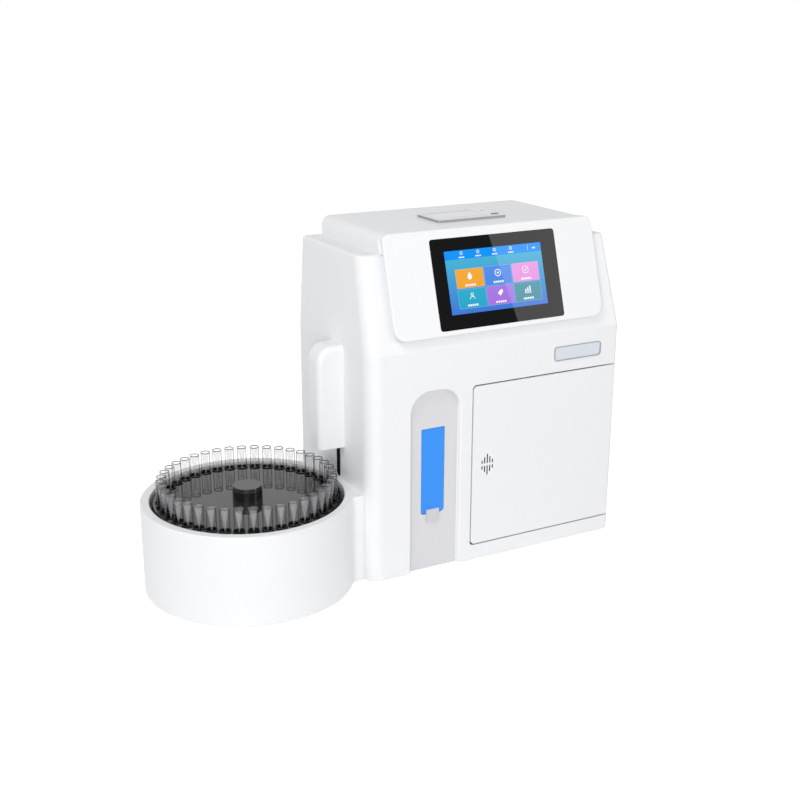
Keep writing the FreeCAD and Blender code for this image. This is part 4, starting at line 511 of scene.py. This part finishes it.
FINISHES = {
    "white_moulding": white_moulding("white_moulding"),
    # The door is white, with painted shade on the walls of its grille slots
    "door_moulding_painted_slot_shade": white_moulding("door_moulding_painted_slot_shade", SLOT_PAINTED_SHADE, grille_slot_shade_mask),
    # The main shell is white, with painted shade on the back face of its recess
    "shell_moulding_painted_recess_shade": white_moulding("shell_moulding_painted_recess_shade", RECESS_PAINTED_SHADE, recess_shade_mask),
    # The tray is white, with near-black painted shade inside it round the disc
    "tray_moulding_painted_well_shade": white_moulding("tray_moulding_painted_well_shade", WELL_PAINTED_SHADE, well_shade_mask),
    # The printer's frame and lid are white, with grey painted shade on their upright edges
    "printer_moulding_painted_edge_shade": white_moulding("printer_moulding_painted_edge_shade", PLATE_EDGE_PAINTED_SHADE, plate_edge_shade_mask),
    "button_plastic": plastic("button_plastic", paint(120, 121, 123), 0.4),
    "grey_powder_coat": plastic("grey_powder_coat", paint(165, 167, 170), 0.55, COARSE_TEXTURE,
                                Texture_Scale=1500.0),
    "pale_powder_coat": plastic("pale_powder_coat", paint(205, 207, 209), 0.5, COARSE_TEXTURE,
                                Texture_Scale=1500.0),
    "black_rubber": plastic("black_rubber", paint(38, 38, 38), 0.75, COARSE_TEXTURE, Texture_Scale=700.0),
    "black_plastic": plastic("black_plastic", paint(22, 22, 23), 0.45),
    "dark_plastic": plastic("dark_plastic", paint(62, 63, 65), 0.5),
    "light_plastic": plastic("light_plastic", paint(214, 215, 217), 0.45),
    "steel": metal("steel", paint(190, 191, 194), 0.28),
    "black_glass": polished("black_glass", SCREEN_BLACK, 0.01, 0.03, specular=GLASS_SPECULAR),
    "badge_metal": metal("badge_metal", paint(192, 196, 204), 0.32, (2500.0, 60.0, 60.0), 0.06),
    "flap_plastic": plastic("flap_plastic", FLAP_BLUE, 0.35),
    "tab_plastic": plastic("tab_plastic", paint(205, 206, 210), 0.4),
    "disc_acrylic": polished("disc_acrylic", paint(38, 38, 39), 0.01, 0.03),
    # Clear cups and electrode bodies, with painted shade on their edges and rims
    "clear_cup": clear_plastic("clear_cup", "sample_cups", CUP_CLEAR, CUP_EDGE_PAINTED_SHADE),
    "clear_body": clear_plastic("clear_body", "electrodes", CUP_CLEAR, CUP_EDGE_PAINTED_SHADE),
    "socket_black": polished("socket_black", paint(6, 6, 7), 0.08, 0.05, specular=0.2),
    "rim_metal": metal("rim_metal", paint(150, 153, 160), 0.35),
    "knob_plastic": plastic("knob_plastic", paint(20, 20, 21), 0.22),
    "cap_plastic": polished("cap_plastic", paint(50, 50, 51), 0.04, 0.05),
    "brass": metal("brass", paint(196, 160, 98), 0.3),
    "board_green": plastic("board_green", paint(26, 96, 52), 0.4),
    "paper": plastic("paper", paint(240, 239, 234), 0.8, COARSE_TEXTURE, Texture_Scale=1200.0),
    "tube_silicone": plastic("tube_silicone", paint(214, 208, 192), 0.5),
    "lamp_green": plastic("lamp_green", paint(70, 190, 90), 0.25),
}

DRESSED = {
    "main_shell": "shell_moulding_painted_recess_shade", "base_plate": "grey_powder_coat", "body_feet": "black_rubber",
    "rear_panel": "pale_powder_coat", "rear_screws": "steel", "top_hood": "white_moulding",
    "fascia": "white_moulding", "display_glass": "black_glass", "display_module": "black_plastic",
    # The slot liner's black plastic is painted shade: it stands in for the shade inside the arm's slot
    "name_badge": "badge_metal", "arm_housing": "white_moulding", "slot_liner": "black_plastic",
    "arm_rail": "steel", "bay_liner": "light_plastic", "door_catch": "black_plastic",
    "electrode_rack": "light_plastic", "electrodes": "clear_body", "reference_electrode": "clear_body",
    "electrode_clamp": "dark_plastic", "pump_housing": "dark_plastic", "pump_tube": "tube_silicone",
    "pump_motor": "steel", "pump_rotor": "light_plastic", "pump_rollers": "light_plastic",
    "reagent_pack": "light_plastic", "port_liner": "dark_plastic", "port_needle": "steel",
    "door_panel": "door_moulding_painted_slot_shade", "door_hinge_pins": "steel", "sampling_flap": "flap_plastic",
    "flap_tab": "tab_plastic", "flap_pins": "steel", "probe_carriage": "dark_plastic",
    "probe_needle": "steel", "tray_base": "tray_moulding_painted_well_shade", "tray_bottom": "grey_powder_coat",
    "tray_feet": "black_rubber", "spindle_bearing": "brass", "tray_motor": "steel",
    "carousel_disc": "disc_acrylic", "carousel_spindle": "steel", "sample_cups": "clear_cup",
    "knob": "knob_plastic", "knob_cap": "cap_plastic", "printer_frame": "printer_moulding_painted_edge_shade",
    "printer_case": "dark_plastic", "printer_lid": "printer_moulding_painted_edge_shade", "lid_pins": "steel",
    "platen_roller": "black_rubber", "paper_roll": "paper", "feed_button": "button_plastic",
    "status_led": "lamp_green", "power_inlet": "black_plastic", "switch_frame": "black_plastic",
    "power_rocker": "black_plastic", "serial_port": "steel", "main_board": "board_green",
    "power_supply": "steel",
}


def dress_nodes():
    """Gives every node of the model its finish."""
    for node, finish in DRESSED.items():
        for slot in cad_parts[node].material_slots:
            slot.material = FINISHES[finish]


# Flat shapes of the screen's picture, drawn as points across and up the glass

def arc(across, up, radius, start, end, steps):
    """Points along an arc, with its angles in degrees."""
    points = []
    for index in range(steps + 1):
        angle = math.radians(start + (end - start) * index / steps)
        points.append(Vector((across + radius * math.cos(angle), up + radius * math.sin(angle))))
    return points


def rounded(left, bottom, right, top, radius):
    """Outline of a rectangle with rounded corners."""
    return (arc(right - radius, top - radius, radius, 0, 90, 4)
            + arc(left + radius, top - radius, radius, 90, 180, 4)
            + arc(left + radius, bottom + radius, radius, 180, 270, 4)
            + arc(right - radius, bottom + radius, radius, 270, 360, 4))


def ring(across, up, radius):
    """Points once round a circle."""
    return arc(across, up, radius, 0, 345, 23)


def ribbon(points, width, closed=False):
    """Quads of a line of even width that runs through some points."""
    last = len(points) - 1
    edges = []
    for index, point in enumerate(points):
        before = points[index - 1] if index > 0 or closed else point
        after = points[(index + 1) % len(points)] if index < last or closed else point
        way_in = (point - before).normalized() if before != point else (after - point).normalized()
        way_out = (after - point).normalized() if after != point else way_in
        middle = (way_in + way_out).normalized()
        side = Vector((-middle.y, middle.x)) * (width / 2 / max(middle.dot(way_in), 0.5))
        edges.append((point + side, point - side))
    pairs = list(zip(edges, edges[1:]))
    if closed:
        pairs.append((edges[-1], edges[0]))
    return [[first[0], first[1], second[1], second[0]] for first, second in pairs]


def glass_place():
    """Place and turn of the cover glass's lower left front corner."""
    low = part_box("display_glass")[0]
    corner = Vector((low.x, low.y, low.z + GLASS_THICKNESS * math.sin(LEAN)))
    turn = Matrix.Rotation(math.radians(90) - LEAN, 4, "X")
    return Matrix.Translation(corner) @ turn


def make_piece(name, shape, material, body):
    """Turns a finished bmesh into a piece that rides on a body."""
    mesh = bpy.data.meshes.new(name)
    shape.to_mesh(mesh)
    shape.free()
    mesh.materials.append(material)
    piece = bpy.data.objects.new(name, mesh)
    bpy.context.scene.collection.objects.link(piece)
    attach(piece, body)
    return piece


def picture_piece(name, faces, layer, material):
    """Thin raised shape on the picture, from faces given in shares of its width and height."""
    shape = bmesh.new()
    for face in faces:
        shape.faces.new([shape.verts.new((point.x, point.y, 0.0)) for point in face])
    bmesh.ops.remove_doubles(shape, verts=shape.verts, dist=MERGE_DISTANCE)
    bmesh.ops.recalc_face_normals(shape, faces=shape.faces)
    raised = bmesh.ops.extrude_face_region(shape, geom=shape.faces[:])["geom"]
    lifted = [item for item in raised if isinstance(item, bmesh.types.BMVert)]
    bmesh.ops.translate(shape, verts=lifted, vec=(0.0, 0.0, layer * LAYER))
    bmesh.ops.recalc_face_normals(shape, faces=shape.faces)
    bmesh.ops.translate(shape, verts=shape.verts, vec=(PICTURE_LEFT, PICTURE_BOTTOM, 0.0))
    bmesh.ops.transform(shape, matrix=glass_place(), verts=shape.verts)
    return make_piece(name, shape, material, "base")


def tile_box(column, row):
    """Left, bottom, right and top of one tile of the picture."""
    left = (TILE_LEFT + column * TILE_STEP_ACROSS) * PICTURE_WIDTH
    bottom = (TILE_BOTTOM - row * TILE_STEP_DOWN) * PICTURE_HEIGHT
    return left, bottom, left + TILE_WIDTH * PICTURE_WIDTH, bottom + TILE_HEIGHT * PICTURE_HEIGHT


def plate(left, bottom, right, top):
    """Corners of a plain rectangle."""
    return [Vector((left, bottom)), Vector((right, bottom)), Vector((right, top)), Vector((left, top))]


def caption(across, up, count, size):
    """Row of plain blocks, where a screen has a word."""
    faces = []
    for index in range(count):
        left = across + (index - count / 2) * size * BLOCK_STEP
        faces.append(plate(left, up, left + size, up + size))
    return faces


def drop_icon(across, up, size):
    """A drop of liquid."""
    tip = Vector((across, up + size))
    return [[tip] + arc(across, up - size * 0.25, size * 0.62, 150, 390, 16)]


def target_icon(across, up, size):
    """A ring with a dot in it."""
    return ribbon(ring(across, up, size * 0.8), size * 0.2, closed=True) + [ring(across, up, size * 0.28)]


def tick_icon(across, up, size):
    """A tick in a ring."""
    tick = [Vector((across - size * 0.35, up)), Vector((across - size * 0.05, up - size * 0.3)),
            Vector((across + size * 0.4, up + size * 0.3))]
    return ribbon(ring(across, up, size * 0.85), size * 0.14, closed=True) + ribbon(tick, size * 0.16)


def person_icon(across, up, size):
    """A head over a pair of shoulders."""
    shoulders = arc(across, up - size * 0.75, size * 0.65, 0, 180, 12)
    return (ribbon(ring(across, up + size * 0.4, size * 0.34), size * 0.16, closed=True)
            + ribbon(shoulders, size * 0.16))


def tag_icon(across, up, size):
    """A tag with a slanted end."""
    corners = [(-0.7, 0.75), (-0.75, 0.1), (0.05, -0.75), (0.75, -0.05), (-0.05, 0.7)]
    return [[Vector((across - x * size, up + y * size)) for x, y in corners]]


def chart_icon(across, up, size):
    """Three bars of a chart on a line."""
    faces = ribbon([Vector((across - size, up - size * 0.8)), Vector((across + size, up - size * 0.8))],
                   size * 0.16)
    for index in range(3):
        middle = across + (index - 1) * size * 0.62
        top = up + size * (0.1 + 0.35 * index)
        faces += ribbon([Vector((middle, up - size * 0.6)), Vector((middle, top))], size * 0.36)
    return faces


# Each tile's sign, and its tint at the foot and at the top of the glass
TILES = (
    (drop_icon, paint(236, 156, 40), paint(250, 176, 60)),
    (target_icon, paint(64, 120, 222), paint(92, 152, 240)),
    (tick_icon, paint(222, 132, 214), paint(236, 166, 232)),
    (person_icon, paint(28, 160, 196), paint(52, 188, 214)),
    (tag_icon, paint(158, 108, 222), paint(184, 138, 236)),
    (chart_icon, paint(64, 138, 158), paint(88, 164, 178)),
)
TILES_IN_ROW = 3


def make_tiles():
    """The six tiles of the picture. Returns the faces of their outlines and of their signs."""
    outlines = []
    signs = []
    for index, (icon, low_tint, high_tint) in enumerate(TILES):
        row, column = divmod(index, TILES_IN_ROW)
        left, bottom, right, top = tile_box(column, row)
        name = "picture_tile_%d" % (index + 1)
        tile = rounded(left, bottom, right, top, TILE_CORNER)
        picture_piece(name, [tile], 2, lit(name, low_tint, high_tint))
        outlines += ribbon(tile, OUTLINE_WIDTH, closed=True)
        across = (left + right) / 2
        signs += icon(across, bottom + ICON_HEIGHT * (top - bottom), ICON_SIZE)
        signs += caption(across, bottom + ICON_WORD_HEIGHT * (top - bottom), 5, ICON_WORD)
    return outlines, signs


def header_signs(width, height):
    """Faces of the header's four rings with words, its divider and its short word."""
    signs = []
    for index in range(4):
        across = (HEADER_FIRST_SIGN + HEADER_STEP * index) * width
        circle = ring(across, HEADER_SIGN_HEIGHT * height, HEADER_SIGN)
        signs += ribbon(circle, HEADER_RING_WIDTH, closed=True)
        signs += caption(across, HEADER_WORD_HEIGHT * height, 4, HEADER_WORD)
    across = DIVIDER_LEFT * width
    divider = [Vector((across, DIVIDER_BOTTOM * height)), Vector((across, DIVIDER_TOP * height))]
    signs += ribbon(divider, DIVIDER_WIDTH)
    return signs + caption(SHORT_WORD_MIDDLE * width, SHORT_WORD_HEIGHT * height, 2, SHORT_WORD)


def make_picture():
    """The screen's picture: background, header bar, six tiles and plain white signs."""
    width = PICTURE_WIDTH
    height = PICTURE_HEIGHT
    picture_piece("picture_background", [plate(0, 0, width, height)], 1,
                  lit("picture_background", paint(58, 92, 214), paint(70, 196, 214)))
    picture_piece("picture_header", [plate(0, HEADER_BOTTOM * height, width, height)], 2,
                  lit("picture_header", paint(0, 132, 240), paint(0, 150, 252)))
    outlines, signs = make_tiles()
    signs += header_signs(width, height)
    picture_piece("picture_outlines", outlines, 3,
                  lit("picture_outlines", paint(150, 190, 226), paint(172, 214, 236)))
    picture_piece("picture_signs", signs, 4,
                  lit("picture_signs", paint(240, 245, 250), paint(252, 253, 255)))


def make_badge_rim():
    """Darker rim round the bare name badge."""
    low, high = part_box("name_badge")
    inset = BADGE_RIM / 2
    outline = rounded(inset, inset, high.x - low.x - inset, high.z - low.z - inset, BADGE_RADIUS - inset)
    shape = bmesh.new()
    for face in ribbon(outline, BADGE_RIM, closed=True):
        corners = [(low.x + point.x, low.y - LAYER, low.z + point.y) for point in face]
        shape.faces.new([shape.verts.new(corner) for corner in corners])
    bmesh.ops.remove_doubles(shape, verts=shape.verts, dist=MERGE_DISTANCE)
    bmesh.ops.solidify(shape, geom=shape.faces[:], thickness=LAYER / 2)
    bmesh.ops.recalc_face_normals(shape, faces=shape.faces)
    make_piece("badge_rim", shape, FINISHES["rim_metal"], "base")


# Repeated pieces, made by Geometry Nodes

def open_tree(name, inputs):
    """Starts a geometry tree with named inputs and returns it with its two ends."""
    tree = bpy.data.node_groups.new(name, "GeometryNodeTree")
    for label, kind in inputs:
        tree.interface.new_socket(label, in_out="INPUT", socket_type=kind)
    tree.interface.new_socket("Geometry", in_out="OUTPUT", socket_type="NodeSocketGeometry")
    entry = tree.nodes.new("NodeGroupInput")
    leave = tree.nodes.new("NodeGroupOutput")
    return tree, entry.outputs, leave.inputs["Geometry"]


def grown(name, tree, values, body):
    """Runs a geometry tree with its values and returns the plain mesh that it makes."""
    seed = bpy.data.objects.new(name + "_seed", bpy.data.meshes.new(name + "_seed"))
    bpy.context.scene.collection.objects.link(seed)
    modifier = seed.modifiers.new("grow", "NODES")
    modifier.node_group = tree
    for item in tree.interface.items_tree:
        if item.in_out == "INPUT":
            modifier[item.identifier] = values[item.name]
    graph = bpy.context.evaluated_depsgraph_get()
    mesh = bpy.data.meshes.new_from_object(seed.evaluated_get(graph), depsgraph=graph)
    bpy.data.objects.remove(seed)
    mesh.name = name
    piece = bpy.data.objects.new(name, mesh)
    bpy.context.scene.collection.objects.link(piece)
    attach(piece, body)
    return piece


def make_sockets():
    """Black socket round the foot of every cup on the disc."""
    tree, given, result = open_tree(
        "cup_sockets",
        [("Count", "NodeSocketInt"), ("Circle Radius", "NodeSocketFloat"),
         ("Socket Radius", "NodeSocketFloat"), ("Wall", "NodeSocketFloat"), ("Height", "NodeSocketFloat"),
         ("Middle", "NodeSocketVector"), ("Finish", "NodeSocketMaterial")])
    nodes = tree.nodes
    links = tree.links
    places = nodes.new("GeometryNodeMeshCircle")
    links.new(given["Count"], places.inputs["Vertices"])
    links.new(given["Circle Radius"], places.inputs["Radius"])
    path = nodes.new("GeometryNodeCurvePrimitiveCircle")
    path.inputs["Resolution"].default_value = 20
    links.new(given["Socket Radius"], path.inputs["Radius"])
    section = nodes.new("GeometryNodeCurvePrimitiveQuadrilateral")
    links.new(given["Wall"], section.inputs["Width"])
    links.new(given["Height"], section.inputs["Height"])
    sweep = nodes.new("GeometryNodeCurveToMesh")
    links.new(path.outputs["Curve"], sweep.inputs["Curve"])
    links.new(section.outputs["Curve"], sweep.inputs["Profile Curve"])
    spread = nodes.new("GeometryNodeInstanceOnPoints")
    links.new(places.outputs["Mesh"], spread.inputs["Points"])
    links.new(sweep.outputs["Mesh"], spread.inputs["Instance"])
    shift = nodes.new("GeometryNodeTransform")
    links.new(spread.outputs["Instances"], shift.inputs["Geometry"])
    links.new(given["Middle"], shift.inputs["Translation"])
    real = nodes.new("GeometryNodeRealizeInstances")
    links.new(shift.outputs["Geometry"], real.inputs["Geometry"])
    finish = nodes.new("GeometryNodeSetMaterial")
    links.new(real.outputs["Geometry"], finish.inputs["Geometry"])
    links.new(given["Finish"], finish.inputs["Material"])
    links.new(finish.outputs["Geometry"], result)
    low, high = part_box("carousel_disc")
    disc_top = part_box("knob")[0].z
    middle = Vector(((low.x + high.x) / 2, (low.y + high.y) / 2, disc_top + SOCKET_HEIGHT / 2))
    grown("cup_sockets", tree,
          {"Count": CUP_COUNT, "Circle Radius": CUP_CIRCLE, "Socket Radius": SOCKET_INNER + SOCKET_WALL / 2,
           "Wall": SOCKET_WALL, "Height": SOCKET_HEIGHT, "Middle": middle,
           "Finish": FINISHES["socket_black"]}, "carousel")


# Surroundings

def shown_directly(tree):
    """A value of 1 where the camera, a reflection or a clear piece looks at the surface."""
    path = tree.nodes.new("ShaderNodeLightPath")
    direct = calculate(tree, "MAXIMUM", path.outputs["Is Camera Ray"], path.outputs["Is Glossy Ray"])
    return calculate(tree, "MAXIMUM", direct, path.outputs["Is Transmission Ray"])


def make_sky():
    """Even white surroundings, shown as plain white and lighting the object at a lower strength."""
    world = bpy.data.worlds.new("studio")
    world.use_nodes = True
    tree = world.node_tree
    background = tree.nodes["Background"]
    background.inputs["Color"].default_value = PURE_WHITE
    strength = calculate(tree, "MULTIPLY_ADD", shown_directly(tree), 1.0 - SKY_STRENGTH, SKY_STRENGTH)
    tree.links.new(strength, background.inputs["Strength"])
    bpy.context.scene.world = world


def make_floor():
    """Pale round floor, which keeps the object's shadow."""
    mesh = bpy.data.meshes.new("floor")
    shape = bmesh.new()
    bmesh.ops.create_circle(shape, cap_ends=True, segments=64, radius=FLOOR_RADIUS)
    shape.to_mesh(mesh)
    shape.free()
    floor = bpy.data.objects.new("floor", mesh)
    bpy.context.scene.collection.objects.link(floor)
    material, shader, coordinates = new_material("floor_paint")
    skin = add_effect(material, MOULDED_SKIN, coordinates, Tint=FLOOR_GREY, Cloudiness=0.01)
    tree = material.node_tree
    tree.links.new(skin["Color"], shader.inputs["Base Color"])
    shader.inputs["Roughness"].default_value = 1.0
    shader.inputs["Specular IOR Level"].default_value = 0.0
    shader.inputs["Emission Color"].default_value = PURE_WHITE
    glow = calculate(tree, "MULTIPLY", shown_directly(tree), FLOOR_GLOW)
    tree.links.new(glow, shader.inputs["Emission Strength"])
    mesh.materials.append(material)


def add_lamp(name, place, aim, size, power):
    """Adds one rectangular soft lamp."""
    data = bpy.data.lights.new(name, "AREA")
    data.shape = "RECTANGLE"
    data.size, data.size_y = size
    data.energy = power
    lamp = bpy.data.objects.new(name, data)
    bpy.context.scene.collection.objects.link(lamp)
    lamp.location = place
    lamp.rotation_euler = (aim - place).to_track_quat("-Z", "Y").to_euler()


def make_lamps():
    """Soft lamps low in front and high at the left, and one that the cover glass mirrors at its right."""
    add_lamp("front_lamp", FRONT_LAMP_PLACE, BODY_AIM, FRONT_LAMP_SIZE, FRONT_LAMP_POWER)
    add_lamp("high_lamp", HIGH_LAMP_PLACE, BODY_AIM, HIGH_LAMP_SIZE, HIGH_LAMP_POWER)
    add_lamp("glass_lamp", GLASS_LAMP_PLACE, SCREEN_AIM, GLASS_LAMP_SIZE, GLASS_LAMP_POWER)


def make_camera():
    """Camera where the photograph was taken from."""
    data = bpy.data.cameras.new("camera")
    data.sensor_width = 36.0
    data.lens = CAMERA_LENS
    camera = bpy.data.objects.new("camera", data)
    bpy.context.scene.collection.objects.link(camera)
    turn = CAMERA_AIM.to_track_quat("-Z", "Y").to_matrix() @ Matrix.Rotation(CAMERA_ROLL, 3, "Z")
    camera.matrix_world = Matrix.Translation(CAMERA_PLACE) @ turn.to_4x4()
    bpy.context.scene.camera = camera


make_camera()
dress_nodes()
make_picture()
make_badge_rim()
make_sockets()
make_sky()
make_floor()
make_lamps()
bpy.context.scene.view_settings.view_transform = "Standard"
